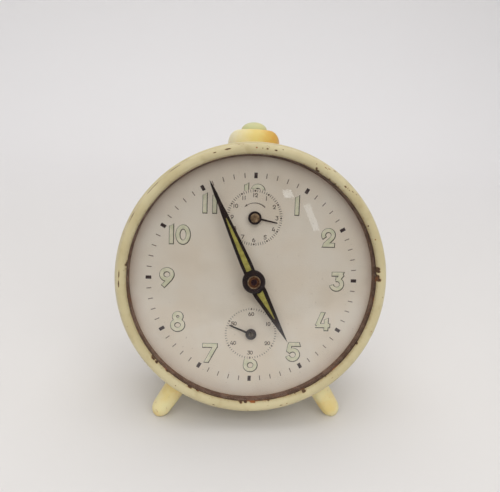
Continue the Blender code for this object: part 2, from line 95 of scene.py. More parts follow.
def feed(material, socket, source):
    """Link a source to one of the shader's own sockets."""
    shader = material.node_tree.nodes["Principled BSDF"]
    material.node_tree.links.new(source, shader.inputs[socket])


def cloud(material, size, detail=3.0, stretch=None):
    """Noise whose lumps are size mm across, in the piece's own place, drawn out by stretch."""
    place = node(material, "TexCoord", {}).outputs["Object"]
    if stretch is not None:
        place = node(material, "Mapping", {"Vector": place, "Scale": stretch}).outputs[0]
    sockets = {"Vector": place, "Scale": 1000.0 / size, "Detail": detail}
    return node(material, "TexNoise", sockets).outputs[0]


def between(material, value, low, high, to_low=0.0, to_high=1.0):
    """The value carried from low..high to to_low..to_high, eased at both ends and held there."""
    sockets = {0: value, 1: low, 2: high, 3: to_low, 4: to_high}
    return node(material, "MapRange", sockets, interpolation_type="SMOOTHSTEP").outputs[0]


def patches(material, size, low=0.35, high=0.65, to_low=0.0, to_high=1.0, detail=3.0):
    """Soft patches size mm across: a cloud carried from low..high to to_low..to_high."""
    return between(material, cloud(material, size, detail), low, high, to_low, to_high)


def blend(material, share, first, second):
    """A mix of two colours, each a screen colour or an output, by share."""
    first, second = (c if isinstance(c, bpy.types.NodeSocket) else linear(c) for c in (first, second))
    return node(material, "Mix", {0: share, 6: first, 7: second}, data_type="RGBA").outputs[2]


def number(material, operation, first, second=0.0):
    """One sum on two numbers."""
    return node(material, "Math", {0: first, 1: second}, operation=operation).outputs[0]


def emboss(material, height, depth):
    """Raise the surface by depth mm where height is 1."""
    sockets = {"Height": height, "Strength": 1.0, "Distance": depth * 0.001}
    feed(material, "Normal", node(material, "Bump", sockets).outputs[0])


def two_toned(name, tones, patch, grain, roughness, dull=None, metallic=0.0, drawn=None):
    """A finish in two tones that meet in soft patches, with an embossed grain. patch, and dull for
    patches of another roughness, are as patches() takes them; grain is its size, detail and depth."""
    finish = start_finish(name, roughness, metallic)
    feed(finish, "Base Color", blend(finish, patches(finish, *patch), *tones))
    if dull:
        feed(finish, "Roughness", patches(finish, *dull))
    size, detail, depth = grain
    emboss(finish, cloud(finish, size, detail, drawn), depth)
    return finish


def bright_metal(name, light, dark, roughness):
    """Worked metal: two tones in soft blotches, fine draw lines, and dull fingerprints."""
    return two_toned(name, (light, dark), (7.0,), (0.5, 2.0, 0.01), roughness,
                     (3.0, 0.4, 0.7, roughness, roughness + 0.18), 1.0, (1.0, 1.0, 9.0))


brass = bright_metal("worked_brass", BRASS_LIGHT, BRASS_DARK, 0.26)
steel = bright_metal("bright_steel", STEEL_LIGHT, STEEL_DARK, 0.28)
blued_steel = bright_metal("blued_spring_steel", BLUED_LIGHT, BLUED_DARK, 0.24)
metals = {"brass": brass, "steel": steel, "spring_steel": blued_steel}
for part in frame["record"]["subparts"]:
    if part["material_slot"] in metals:
        for place in frame["nodes"][part["node"]].material_slots:
            place.material = metals[part["material_slot"]]


# ----------------------------------------
# The dial: a thin steel disc, painted a pale pinkish stone colour, darker round its edge from age
# and from painted shade. It lies on three soldered feet that go through the front plate.

MM = 0.001
HINGES = {hinge["name"]: hinge for hinge in frame["joints"]}
MIDDLE = np.array(HINGES["hands_turn"]["pos_m"])     # the middle of the dial's face
OUT = -np.array(HINGES["hands_turn"]["axis"])
RIGHT = np.array((1.0, 0.0, 0.0))
UP = np.cross(OUT, RIGHT)

DIAL_RADIUS, DIAL_THICKNESS, DIAL_BORE = 46.0, 0.5, 2.9
DIAL_FEET = ((-31.0, 18.0), (31.0, 18.0), (-9.0, -36.0))
DIAL_FOOT_RADIUS, DIAL_FOOT_END = 1.2, -6.8
DIAL_PALE, DIAL_WARM, DIAL_RIM_AGE_AND_SHADE = (238, 228, 213), (235, 222, 204), (206, 184, 166)
DUST = (150, 132, 110)


def on_clock(points):
    """Places in the frame: the dial's middle plus each coordinate times its own direction."""
    return MIDDLE + MM * np.asarray(points) @ np.stack([RIGHT, UP, OUT])


def axle(hinge):
    """Where a joint's axis comes through the dial, as (x, y) in mm."""
    away = (np.array(HINGES[hinge]["pos_m"]) - MIDDLE) / MM
    return np.array([away @ RIGHT, away @ UP])


def grid_faces(rows, columns, round_rows=False, round_columns=True):
    """Four-sided faces of a grid of points kept row by row; a round way meets its own start."""
    row, column = np.meshgrid(np.arange(rows if round_rows else rows - 1),
                              np.arange(columns if round_columns else columns - 1), indexing="ij")
    row, column = row.ravel(), column.ravel()
    next_row, next_column = (row + 1) % rows, (column + 1) % columns
    corners = ((row, column), (row, next_column), (next_row, next_column), (next_row, column))
    return np.stack([r * columns + c for r, c in corners], axis=1).tolist()


def pairs(first, second):
    """Two rows of numbers as pairs, such as (radius, height) or (x, y); a lone number is repeated."""
    return np.stack(np.broadcast_arrays(first, second), axis=1)


def around(points):
    """Each point's angle clockwise from 12, in radians, and its distance from the middle line."""
    return np.arctan2(points[:, 0], points[:, 1]), np.hypot(points[:, 0], points[:, 1])


def turned(profile, sides, middle=(0.0, 0.0)):
    """A profile of (radius, height) turned about z: x = radius cos(turn), y = radius sin(turn)."""
    profile = np.asarray(profile, float)
    turn = np.linspace(0.0, 2.0 * np.pi, sides, endpoint=False)
    x = middle[0] + np.outer(profile[:, 0], np.cos(turn))
    y = middle[1] + np.outer(profile[:, 0], np.sin(turn))
    z = np.repeat(profile[:, 1:2], sides, axis=1)
    closed = profile[0, 0] > 0.0
    return np.stack([x, y, z], axis=2).reshape(-1, 3), grid_faces(len(profile), sides, closed)


def softened(corners, steps=6):
    """A profile through corners of (radius, height, rounding). A rounded corner P becomes the
    curve (1-t)^2 A + 2t(1-t) P + t^2 B, where A and B lie that rounding before and after P."""
    corners = np.asarray(corners, float)
    t = np.linspace(0.0, 1.0, steps)[:, None]
    points = []
    for step, (radius, height, rounding) in enumerate(corners):
        corner = np.array([radius, height])
        before, after = corners[step - 1, :2], corners[(step + 1) % len(corners), :2]
        if rounding <= 0.0:
            points.append(corner[None])
            continue
        start = corner + rounding * (before - corner) / np.linalg.norm(before - corner)
        end = corner + rounding * (after - corner) / np.linalg.norm(after - corner)
        points.append((1 - t) ** 2 * start + 2 * t * (1 - t) * corner + t ** 2 * end)
    return np.concatenate(points)


def combined(parts):
    """Several (points, faces) as one, each part's faces counted on from those before it."""
    points, faces, count = [], [], 0
    for part_points, part_faces in parts:
        points.append(part_points)
        faces += [[corner + count for corner in face] for face in part_faces]
        count += len(part_points)
    return np.concatenate(points), faces


def add_mesh(name, points, faces, material, sharp=35.0, values=None):
    """A mesh object of points in metres, its doubles merged, its faces outwards, and smooth but
    for edges sharper than that angle. values is a number for each point that its material reads."""
    mesh = bpy.data.meshes.new(name)
    mesh.from_pydata(points.tolist(), [], faces)
    for key, numbers in (values or {}).items():
        mesh.attributes.new(key, "FLOAT", "POINT").data.foreach_set("value", numbers.astype("f"))
    solid = bmesh.new()
    solid.from_mesh(mesh)
    bmesh.ops.remove_doubles(solid, verts=solid.verts, dist=2e-7)
    bmesh.ops.recalc_face_normals(solid, faces=solid.faces)
    solid.to_mesh(mesh)
    solid.free()
    mesh.materials.append(material)
    mesh.shade_smooth()
    mesh.set_sharp_from_angle(angle=math.radians(sharp))
    piece = bpy.data.objects.new(name, mesh)
    bpy.context.scene.collection.objects.link(piece)
    return piece


def add_piece(name, parts, material, body, replaces=(), sharp=35.0, values=None, floor=-1.0):
    """A piece of the clock made of (points, faces) parts in mm, riding on a body. What would lie
    lower than the floor, in metres, is raised to it."""
    points, faces = combined(parts)
    places = on_clock(points)
    places[:, 2] = np.maximum(places[:, 2], floor)
    piece = add_mesh(name, places, faces, material, sharp, values)
    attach(piece, body)
    if replaces:
        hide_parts(*replaces)
    return piece


def dial_paint():
    """Matt dial paint: stone colour in faint clouds, browner near the rim (age and painted shade), with dust
    specks.
    """
    paint = start_finish("dial_paint", 0.55, IOR=1.4)
    tone = blend(paint, patches(paint, 16.0), DIAL_PALE, DIAL_WARM)
    reach = node(paint, "Attribute", {}, attribute_name="reach").outputs["Fac"]
    # Darker towards the rim: partly the paint's age, and partly painted shade from the bezel and ring.
    rim_age_and_shade = number(paint, "ADD", reach, number(paint, "MULTIPLY", cloud(paint, 9.0), 0.12))
    tone = blend(paint, between(paint, rim_age_and_shade, 0.9, 1.12), tone, DIAL_RIM_AGE_AND_SHADE)
    specks = patches(paint, 0.9, 0.7, 0.78, 0.0, 0.35, detail=2.0)
    feed(paint, "Base Color", blend(paint, specks, tone, DUST))
    emboss(paint, cloud(paint, 0.7, 2.0), 0.012)
    return paint


disc = turned(np.concatenate([pairs(np.linspace(DIAL_BORE, DIAL_RADIUS, 60), 0.0), [
    (DIAL_RADIUS, -DIAL_THICKNESS), (DIAL_BORE, -DIAL_THICKNESS)]]), 240)
posts = [turned([(0.0, -0.2), (DIAL_FOOT_RADIUS, -0.2), (DIAL_FOOT_RADIUS, DIAL_FOOT_END),
                 (0.0, DIAL_FOOT_END)], 24, middle) for middle in DIAL_FEET]
add_piece("dial_disc", [disc, *posts], dial_paint(), "case", ["dial"],
          values={"reach": around(combined([disc, *posts])[0])[1] / DIAL_RADIUS})


# ----------------------------------------
# The printing on the dial: sixty ticks with a broad bar at each hour, and the two small rings of
# dots and numbers for the alarm above and for the seconds below. It is dark plum-brown ink.

INK_DARK, INK_FADED, INK_SMALL = (54, 38, 38), (132, 113, 100), (96, 80, 68)
INK_WORN = (150, 134, 122)
PRINT = (-0.05, 0.025)       # the print's underside, let into the dial, and its top
TRACK_RADIUS = 37.5
HOUR_BAR, MINUTE_TICK = (1.2, 2.0), (0.33, 1.75)     # width and length
ALARM_DIAL, ALARM_TRACK, ALARM_NUMBERS = axle("alarm_setting_turn"), 9.65, 8.1
ALARM_TICK, ALARM_DOT = (0.2, 1.0), 0.36
SECONDS_DIAL, SECONDS_TRACK, SECONDS_NUMBERS = axle("seconds_turn"), 9.2, 7.3
SECOND_TICK, TEN_SECOND_TICK = (0.19, 0.7), (0.5, 0.7)
ALARM_SCALE, SECONDS_SCALE = 0.235, 0.22             # small numbers, against the hour numerals
SMALL_STROKE = 0.26
ARROW_RADIUS = 5.3


def bars(angles, radius, width, length, low, high, middle=(0.0, 0.0)):
    """Upright bars on a ring: each corner of a box turned by its own angle clockwise from 12."""
    x, y, z = np.meshgrid((-width / 2, width / 2), (radius - length / 2, radius + length / 2),
                          (low, high), indexing="ij")
    x, y, z = x.ravel(), y.ravel(), z.ravel()
    turn = np.radians(np.asarray(angles, float))[:, None]
    points = np.stack([middle[0] + x * np.cos(turn) + y * np.sin(turn),
                       middle[1] - x * np.sin(turn) + y * np.cos(turn),
                       np.broadcast_to(z, (len(turn), 8))], axis=2).reshape(-1, 3)
    box = np.array([(0, 1, 3, 2), (4, 6, 7, 5), (0, 4, 5, 1), (2, 3, 7, 6), (0, 2, 6, 4), (1, 5, 7, 3)])
    faces = (box[None] + 8 * np.arange(len(turn))[:, None, None]).reshape(-1, 4)
    return points, faces.tolist()


def line(start, end):
    """Points along a straight stroke, about six to the millimetre."""
    return np.linspace(start, end, max(2, int(6 * math.dist(start, end))))


def bow(middle, across, up, start, end, count=None):
    """Points along part of an oval: middle + (across cos(a), up sin(a)), from start to end."""
    angle = np.radians(np.linspace(start, end, count or max(6, int(abs(end - start) / 6))))
    return pairs(middle[0] + across * np.cos(angle), middle[1] + up * np.sin(angle))


def stroke(path, width, low, high, crown=0.0, slant=(0.0, 0.0)):
    """A strip along a path: each point of the path carries a row that reaches half the width to
    both sides of the path's direction, crown higher in its middle than at its edges. The first
    and last rows lean along the path by slant, as a pen cut at an angle does."""
    path = np.asarray(path, float)
    looped = math.dist(path[0], path[-1]) < 1e-6
    if looped:
        path = path[:-1]
        ahead = np.roll(path, -1, axis=0) - np.roll(path, 1, axis=0)
    else:
        ahead = np.gradient(path, axis=0)
    ahead = ahead / np.linalg.norm(ahead, axis=1, keepdims=True)
    side = np.stack([ahead[:, 1], -ahead[:, 0]], axis=1)
    share = np.array([-1.0, -1.0, -0.8, 0.0, 0.8, 1.0, 1.0])
    shoulder = high - 0.4 * crown
    rise = np.array([low, high - crown, shoulder, high, shoulder, high - crown, low])
    half = np.broadcast_to(np.asarray(width, float) / 2.0, len(path))
    flat = path[:, None] + side[:, None] * (half[:, None] * share)[:, :, None]
    if not looped:
        flat[0] += ahead[0] * (share * half[0] * slant[0])[:, None]
        flat[-1] += ahead[-1] * (share * half[-1] * slant[1])[:, None]
    points = np.concatenate([flat, np.broadcast_to(rise[None, :, None], (len(path), 7, 1))], axis=2)
    faces = grid_faces(len(path), 7, looped)
    if not looped:
        faces += [list(range(7)), [7 * (len(path) - 1) + step for step in range(6, -1, -1)]]
    return points.reshape(-1, 3), faces


# Each digit is a list of strokes about its own middle, 7.4 mm high. A stroke is its path, and the
# slants of its two ends where they aren't cut square.
UPPER, LOWER = ((0.0, 1.15), 1.85, 1.75), ((0.0, -1.15), 1.85, 1.75)    # the bowls of 9 and 6
DIGITS = {
    "0": [(bow((0.0, 0.1), 1.85, 2.75, 0, 360),)],
    "1": [(line((0.0, 3.25), (0.0, -3.2)), 0.7, 0)],
    "2": [(np.concatenate([bow((0.0, 1.05), 1.8, 1.7, 218, -36), line((1.2, -0.3), (-1.1, -2.5))]),),
          (line((-1.8, -2.65), (2.35, -2.65)), -0.4, 0)],
    "3": [(line((-1.9, 2.85), (2.15, 2.85)), 0, -0.4), (line((1.9, 2.7), (0.1, 0.5)),),
          (bow((-0.1, -0.95), 1.9, 1.8, 98, -166),)],
    "4": [(line((-0.2, 3.4), (-2.1, -1.5)), 0.3, 0), (line((-2.3, -1.55), (2.5, -1.55)), -0.5, 0),
          (line((1.2, 0.9), (1.2, -3.35)), 0.4, 0)],
    "5": [(line((-1.6, 2.9), (2.5, 2.9)), 0, 0.3), (line((-1.15, 2.9), (-1.6, 0.2)),),
          (bow((-0.05, -1.05), 1.9, 1.8, 148, -160),)],
    "6": [(bow(*LOWER, 0, 360),), (bow((1.2, -1.0), 3.0, 4.2, 178, 108),)],
    "7": [(line((-2.6, 2.8), (2.6, 2.8)),), (line((2.0, 2.6), (-1.2, -3.5)), 0, 0.45)],
    "8": [(bow((0.0, 1.9), 1.2, 1.15, 0, 360),), (bow((0.0, -1.25), 1.85, 1.65, 0, 360),)],
    "9": [(bow(*UPPER, 0, 360),),
          (np.concatenate([bow(*UPPER, 0, -40), line((1.2, -0.4), (-1.3, -3.1))]),)],
}
ROOM, ROOM_OF_ONE = 2.25, 1.62  # half the room that a digit takes in a number


def numeral(text, width, low, high, crown=0.0, scale=1.0, middle=(0.0, 0.0), longer=0.0):
    """The strokes of a number about its middle. Each stroke may run longer at both ends."""
    rooms = [ROOM_OF_ONE if digit == "1" else ROOM for digit in text]
    starts = np.cumsum([0.0] + [2.0 * room + 0.25 for room in rooms])
    offset = [start + room - (starts[-1] - 0.25) / 2.0 for start, room in zip(starts, rooms)]
    parts = []
    for digit, shift in zip(text, offset):
        for path, *slant in DIGITS[digit]:
            path = path + (shift, 0.0)
            if longer and math.dist(path[0], path[-1]) > 0.01:
                first = path[0] + longer * (path[0] - path[1]) / math.dist(path[0], path[1])
                last = path[-1] + longer * (path[-1] - path[-2]) / math.dist(path[-1], path[-2])
                path = np.concatenate([first[None], path, last[None]])
            parts.append(stroke(path * scale + middle, width, low, high, crown, slant or (0, 0)))
    return parts


def on_ring(middle, radius, clock_angle):
    """The point of a ring at an angle clockwise from 12."""
    turn = math.radians(clock_angle)
    return (middle[0] + radius * math.sin(turn), middle[1] + radius * math.cos(turn))


def ink(name, dark):
    """Printing ink: a flat colour worn thin in places, a little duller than the paint."""
    return two_toned(name, (dark, INK_WORN), (1.2, 0.5, 0.8, 0.0, 0.25), (0.3, 2.0, 0.01), 0.5)


hours = np.arange(12) * 30.0
minutes = [angle for angle in np.arange(60) * 6.0 if angle % 30.0]
dark_ink, faded_ink = ink("dark_ink", INK_DARK), ink("faded_ink", INK_FADED)
small_ink = ink("small_print_ink", INK_SMALL)
add_piece("hour_bars", [bars(hours, TRACK_RADIUS, *HOUR_BAR, *PRINT)], dark_ink, "case")
add_piece("minute_ticks", [bars(minutes, TRACK_RADIUS, *MINUTE_TICK, *PRINT)], faded_ink, "case")

alarm_ticks = [angle for angle in np.arange(72) * 5.0 if angle % 30.0]
alarm_ring = [bars(alarm_ticks, ALARM_TRACK, *ALARM_TICK, *PRINT, ALARM_DIAL)]
dot = [(0.0, PRINT[1]), (ALARM_DOT, PRINT[1]), (ALARM_DOT, PRINT[0]), (0.0, PRINT[0])]
alarm_ring += [turned(dot, 16, on_ring(ALARM_DIAL, ALARM_TRACK, angle)) for angle in hours]
for hour in range(1, 13):
    alarm_ring += numeral(str(hour), SMALL_STROKE, *PRINT, scale=ALARM_SCALE,
                          middle=on_ring(ALARM_DIAL, ALARM_NUMBERS, 30.0 * hour))
arrow = bow(ALARM_DIAL, ARROW_RADIUS, ARROW_RADIUS, 46.0, 126.0)
alarm_ring.append(stroke(arrow, np.linspace(0.42, 0.16, len(arrow)), *PRINT))
head = bow(ALARM_DIAL, ARROW_RADIUS, ARROW_RADIUS, 122.0, 135.0)
alarm_ring.append(stroke(head, np.linspace(0.75, 0.05, len(head)), PRINT[0], PRINT[1] + 0.005))
add_piece("alarm_ring_print", alarm_ring, small_ink, "case")

tens = np.arange(6) * 60.0
second_dots = [angle for angle in np.arange(60) * 6.0 if angle % 60.0]
seconds_ring = [bars(second_dots, SECONDS_TRACK, *SECOND_TICK, *PRINT, SECONDS_DIAL),
                bars(tens, SECONDS_TRACK, *TEN_SECOND_TICK, *PRINT, SECONDS_DIAL)]
for ten in range(1, 7):
    seconds_ring += numeral(str(10 * ten), SMALL_STROKE, *PRINT, scale=SECONDS_SCALE,
                            middle=on_ring(SECONDS_DIAL, SECONDS_NUMBERS, 60.0 * ten))
add_piece("seconds_ring_print", seconds_ring, small_ink, "case")


# ----------------------------------------
# The hour numerals: pale green luminous paint laid on thick inside a thin printed outline, which
# shows more on the right and below. The 12 and the 6 are cut off by the two small rings.

NUMERAL_RADIUS = 31.0
LUME_STROKE, LUME_HEIGHT, OUTLINE_HEIGHT = 1.32, 0.11, 0.03
OUTLINE = 0.24               # how far the printed outline stands out round the paint
OUTLINE_SHIFT = (0.08, -0.1)
LUME_PALE, LUME_GREEN = (236, 229, 206), (217, 216, 186)
OUTLINE_INK = (76, 70, 55)
OFF_PLACE = {1: (-0.25, 0.2), 2: (0.4, 0.3), 3: (0.3, -0.4), 5: (0.45, -0.4), 6: (0.2, -0.25),
             7: (0.6, -0.95), 8: (0.0, -0.7), 10: (-0.4, 0.1), 11: (-0.7, 0.1),
             12: (-0.9, 0.0)}     # how far some numerals stand from their even places
SUNK = -0.2                  # height, under the dial's face, of what the small rings cut off


def cut_by_rings(parts):
    """Sink every point that lies inside one of the two small rings under the dial's face."""
    for points, _ in parts:
        for middle, radius in ((ALARM_DIAL, ALARM_TRACK + 0.6), (SECONDS_DIAL, SECONDS_TRACK + 0.45)):
            inside = np.hypot(points[:, 0] - middle[0], points[:, 1] - middle[1]) < radius
            points[inside, 2] = SUNK
    return parts


# The luminous paint is grainy, and greener where it lies thick.
pale_lume = two_toned("pale_luminous_paint", (LUME_PALE, LUME_GREEN), (2.2, 0.35, 0.65),
                      (0.35, 3.0, 0.04), 0.75)
lume, outlines = [], []
for hour in range(1, 13):
    place = on_ring(OFF_PLACE.get(hour, (0.0, 0.0)), NUMERAL_RADIUS, 30.0 * hour)
    lume += numeral(str(hour), LUME_STROKE, PRINT[0], LUME_HEIGHT, crown=0.05, middle=place)
    edge = (place[0] + OUTLINE_SHIFT[0], place[1] + OUTLINE_SHIFT[1])
    outlines += numeral(str(hour), LUME_STROKE + 2.0 * OUTLINE, PRINT[0], OUTLINE_HEIGHT,
                        middle=edge, longer=OUTLINE)
add_piece("hour_numerals", cut_by_rings(lume), pale_lume, "case")
add_piece("hour_numeral_outlines", cut_by_rings(outlines), ink("outline_ink", OUTLINE_INK), "case")


# ----------------------------------------
# The hour and minute hands: blades stamped from thin steel and painted black, with a long slot
# filled with olive green luminous paint. The minute hand curves down towards its tip.

MINUTE_ANGLE, HOUR_ANGLE = 335.0, 149.5
MINUTE_LENGTH, MINUTE_DROP = 39.0, 2.4      # its tip lies that much lower than its ring
MINUTE_TOP, HOUR_TOP, PLATE = 6.3, 4.3, 0.4
HOUR_NOTCH = 0.5
MINUTE_EDGE = np.array([(3.2, 2.05), (7.4, 2.1), (13.0, 1.85), (16.0, 1.7), (20.0, 1.47), (24.0, 1.2),
                        (27.0, 1.05), (30.0, 0.75), (34.0, 0.62), (37.0, 0.38), (39.0, 0.03)])
MINUTE_SLOT = np.array([(4.4, 0.95), (8.0, 0.92), (12.0, 0.8), (18.5, 0.54), (22.0, 0.36),
                        (24.7, 0.12)])
HOUR_EDGE = np.array([(3.0, 2.5), (4.4, 2.6), (5.9, 2.5), (7.4, 2.3), (10.3, 1.95),
                      (13.3, 1.6), (16.2, 1.25), (19.3, 0.88), (22.4, 0.5), (26.0, 0.03)])
HOUR_SLOT = np.array([(4.6, 1.2), (8.7, 0.8), (12.5, 0.42), (15.9, 0.12)])
BLACK, BLACK_RUBBED = (30, 18, 18), (56, 38, 34)
OLIVE, OLIVE_DARK = (186, 178, 92), (156, 146, 74)


def loop_round(widths, count, notch=0.0):
    """An outline up one side of a blade and down the other. Its half width at each reach is read
    between the given (reach, half width) pairs; notch pulls the middle of its start outwards."""
    reach = np.linspace(widths[0, 0], widths[-1, 0], count)
    half = np.interp(reach, widths[:, 0], widths[:, 1])
    across = np.linspace(-1.0, 1.0, 9)[1:-1]
    start = pairs(across * half[0], reach[0] + notch * (1.0 - np.abs(across)))
    return np.concatenate([pairs(half, reach), pairs(-half, reach)[::-1], start])


def blade(edge, slot, top, notch):
    """The slotted blade: one closed ring that runs from the outer outline over a rounded edge to
    the slot's outline and back under, so each outline point is joined to its own slot point."""
    outer, inner = loop_round(edge, 60), loop_round(slot, 60, notch)
    inward = (inner - outer) / np.linalg.norm(inner - outer, axis=1, keepdims=True)
    rings = [(outer, top - PLATE), (outer, top - 0.12), (outer + 0.1 * inward, top - 0.02),
             (outer + 0.22 * inward, top), (inner, top - 0.03), (inner, top - PLATE)]
    points = np.stack([np.column_stack([loop, np.full(len(loop), z)]) for loop, z in rings])
    return points.reshape(-1, 3), grid_faces(6, len(outer), True)


def slot_filling(slot, top, notch):
    """The paint in the slot: rows across it, a little domed, from its start to its tip."""
    reach = np.linspace(slot[0, 0], slot[-1, 0], 50)[:, None]
    half = np.interp(reach, slot[:, 0], slot[:, 1]) + 0.06
    share = np.array([-1.0, -1.0, -0.6, 0.0, 0.6, 1.0, 1.0])
    rise = np.array([-0.3, -0.1, -0.04, -0.02, -0.04, -0.1, -0.3]) + top
    start = notch * (1.0 - np.abs(share)) * np.linspace(1.0, 0.0, 50)[:, None]
    points = np.stack([half * share, reach + start, np.broadcast_to(rise, (50, 7))], axis=2)
    faces = grid_faces(50, 7) + [list(range(7)), list(range(349, 342, -1))]
    return points.reshape(-1, 3), faces


def set_to(part, clock_angle, middle=(0.0, 0.0), drop=0.0, length=1.0):
    """Turn a part clockwise from 12, lowered by drop at its tip as the square of the reach."""
    points, faces = part
    turn = math.radians(clock_angle)
    x, y, z = points.T
    z = z - drop * (np.hypot(x, y) / length) ** 2
    return np.stack([middle[0] + x * math.cos(turn) + y * math.sin(turn),
                     middle[1] - x * math.sin(turn) + y * math.cos(turn), z], axis=1), faces


# The black paint is satin with a brown cast, rubbed along the blades; the luminous paint is aged.
hand_black = two_toned("black_hand_paint", (BLACK, BLACK_RUBBED), (1.5, 0.5, 0.72, 0.0, 0.8),
                       (0.6, 2.0, 0.015), 0.35, (2.5, 0.35, 0.65, 0.28, 0.5))
hand_lume = two_toned("olive_luminous_paint", (OLIVE, OLIVE_DARK), (1.6, 0.35, 0.68),
                      (0.4, 3.0, 0.05), 0.7)
minute_ring = turned(softened([(2.0, 5.9, 0), (4.1, 5.9, 0.05), (4.1, 6.45, 0.15), (2.0, 6.45, 0)]), 72)
hour_ring = turned(softened([(2.85, 3.9, 0), (4.0, 3.9, 0.05), (4.0, 4.4, 0.12), (2.85, 4.4, 0)]), 72)
for name, ring, edge, slot, shape, setting, body in (
        ("minute", minute_ring, MINUTE_EDGE, MINUTE_SLOT, (MINUTE_TOP, 0.0),
         {"clock_angle": MINUTE_ANGLE, "drop": MINUTE_DROP, "length": MINUTE_LENGTH}, "minute_arbor"),
        ("hour", hour_ring, HOUR_EDGE, HOUR_SLOT, (HOUR_TOP, HOUR_NOTCH),
         {"clock_angle": HOUR_ANGLE}, "hour_wheel")):
    add_piece(f"{name}_hand_blade", [ring, set_to(blade(edge, slot, *shape), **setting)], hand_black,
              body, [f"{name}_hand"])
    add_piece(f"{name}_hand_lume", [set_to(slot_filling(slot, *shape), **setting)], hand_lume, body)


# ----------------------------------------
# The hubs: a turned brass collet with a raised rim holds the minute hand on its arbor, whose dark
# end shows in the middle. The alarm and seconds needles have small hubs of their own.

ALARM_ANGLE, SECONDS_ANGLE = 101.5, 292.5
NEEDLE_LOW, NEEDLE_TOP, NEEDLE_CROWN = 1.0, 1.4, 0.15
NEEDLE_START, NEEDLE_END = 0.74, 0.44       # width at the hub and at the tip
HUB_LOW, HUB_TOP, PIN_LOW = 0.9, 1.75, 1.7


def tarnished(name, light, dark):
    """Metal that has gone dull and brown over the years, in small spots."""
    return two_toned(name, (light, dark), (1.0,), (0.3, 2.0, 0.02), 0.45,
                     (0.7, 0.35, 0.65, 0.35, 0.6), 0.7)


dull_brass = tarnished("dull_brass", (192, 164, 130), (132, 106, 80))
brown_brass = tarnished("brown_brass", (138, 92, 56), (96, 58, 40))
dark_steel = tarnished("dark_arbor_steel", (84, 48, 50), (58, 34, 40))
grey_steel = tarnished("grey_pivot_steel", (148, 138, 112), (86, 74, 58))
for name, profile, metal, slot in (
        ("minute_hub", [(2.3, 6.3, 0), (3.9, 6.3, 0.1), (3.75, 6.75, 0.25), (2.8, 6.9, 0.15),
                        (2.3, 6.7, 0)], hand_black, "black_paint"),
        ("minute_collet_rim", [(1.95, 6.0, 0), (2.35, 6.0, 0), (2.35, 7.0, 0.1), (2.15, 7.1, 0.08),
                               (1.95, 7.0, 0.1)], dull_brass, "brass"),
        ("minute_collet", [(1.0, 6.0, 0), (2.0, 6.0, 0), (2.0, 6.85, 0.1), (1.5, 6.6, 0.3),
                           (1.0, 6.65, 0)], brown_brass, "brass"),
        ("minute_arbor_end", [(0.0, 6.95, 0), (0.9, 6.9, 0.2), (1.1, 6.6, 0.1), (1.1, 6.1, 0),
                              (0.0, 6.1, 0)], dark_steel, "steel")):
    sides = 48 if name == "minute_arbor_end" else 72
    add_piece(name, [turned(softened(profile), sides)], metal, "minute_arbor")


def needle(reach_in, length):
    """A small needle: a strip that narrows from its hub to a rounded tip."""
    path = line((0.0, reach_in), (0.0, length))
    share = np.linspace(0.0, 1.0, len(path))
    width = (NEEDLE_START + (NEEDLE_END - NEEDLE_START) * share) * np.sqrt(1.0 - share ** 24 + 0.01)
    return stroke(path, width, NEEDLE_LOW, NEEDLE_TOP, NEEDLE_CROWN)


def needle_hub(radius, bore, middle):
    """The turned ring that a needle is pressed into."""
    return turned(softened([(bore, HUB_LOW, 0), (radius, HUB_LOW, 0.08), (radius, HUB_TOP, 0.2),
                            (bore, HUB_TOP + 0.1, 0)]), 48, middle)


def domed_pin(radius, top, middle):
    """The rounded end of an arbor: radius cos(a) across, and sin(a) of its height up. A groove
    runs round it at 0.4 of its radius, and what lies inside the groove stands a little higher."""
    dome = bow((0.0, PIN_LOW), radius, top - PIN_LOW, 0.0, 90.0, 28)
    share = dome[:, 0] / radius
    dome[:, 1] += np.where(share < 0.34, 0.06, np.where(share < 0.46, -0.2, -0.04))
    return turned(np.concatenate([[(0.0, PIN_LOW - 0.6), (radius, PIN_LOW - 0.6)], dome]), 40, middle)


for name, hinge, angle, length, radius, pin, body, tip, metal in (
        ("alarm", "alarm_setting_turn", ALARM_ANGLE, 8.5, 2.4, 1.7, "alarm_setting", 2.55, dull_brass),
        ("seconds", "seconds_turn", SECONDS_ANGLE, 8.9, 2.0, 0.95, "fourth_wheel", 2.1, grey_steel)):
    middle = axle(hinge)
    pointer = set_to(needle(radius - 0.3, length), angle, middle)
    add_piece(name + "_hand_needle", [pointer, needle_hub(radius, pin - 0.1, middle)], hand_black,
              body, [name + "_hand"])
    add_piece(name + "_hand_pin", [domed_pin(pin, tip, middle)], metal, body)


# ----------------------------------------
# The case: a drum of sheet steel with a bead rolled round its front edge, a round back corner and
# a flange turned inwards. It is stoved in cream enamel, with chips down to brown primer and rust.

DRUM_RADIUS, DRUM_WALL, DRUM_BACK, DRUM_SIDES = 48.2, 0.8, -38.0, 900
BEAD_RADIUS, FLANGE_RADIUS = 49.5, 43.3
FOOT_ANGLE, FOOT_PLACE = 32.5, -6.0         # from 6 o'clock, and behind the dial
BUTTON_PLACE = -14.0
PAINT_DEPTH = 0.05
CREAM, CREAM_LIGHT, CREAM_DIRTY = (195, 181, 139), (204, 192, 152), (174, 156, 112)
# The stain brown serves both for rust stains round chips and for painted shade on the bezel's inner slope.
RUST_SPECK, STAIN_AND_SHADE_BROWN = (140, 104, 66), (168, 128, 78)
PRIMER, RUST_DARK, RUST_ORANGE = (98, 74, 52), (76, 52, 38), (158, 92, 48)


def ripple(angle, seed, lowest, highest):
    """A smooth wavy value round a ring, -1 to 1: a sum of sines of k times the angle, each with
    its own phase, for every third k from lowest to highest."""
    k = np.arange(lowest, highest, 3)[:, None]
    phase = np.sin(k * 12.9898 + seed * 78.233) * 43758.5453
    waves = np.sin(k * angle[None] + phase) / np.sqrt(k)
    return waves.sum(axis=0) / np.sqrt((1.0 / k).sum())


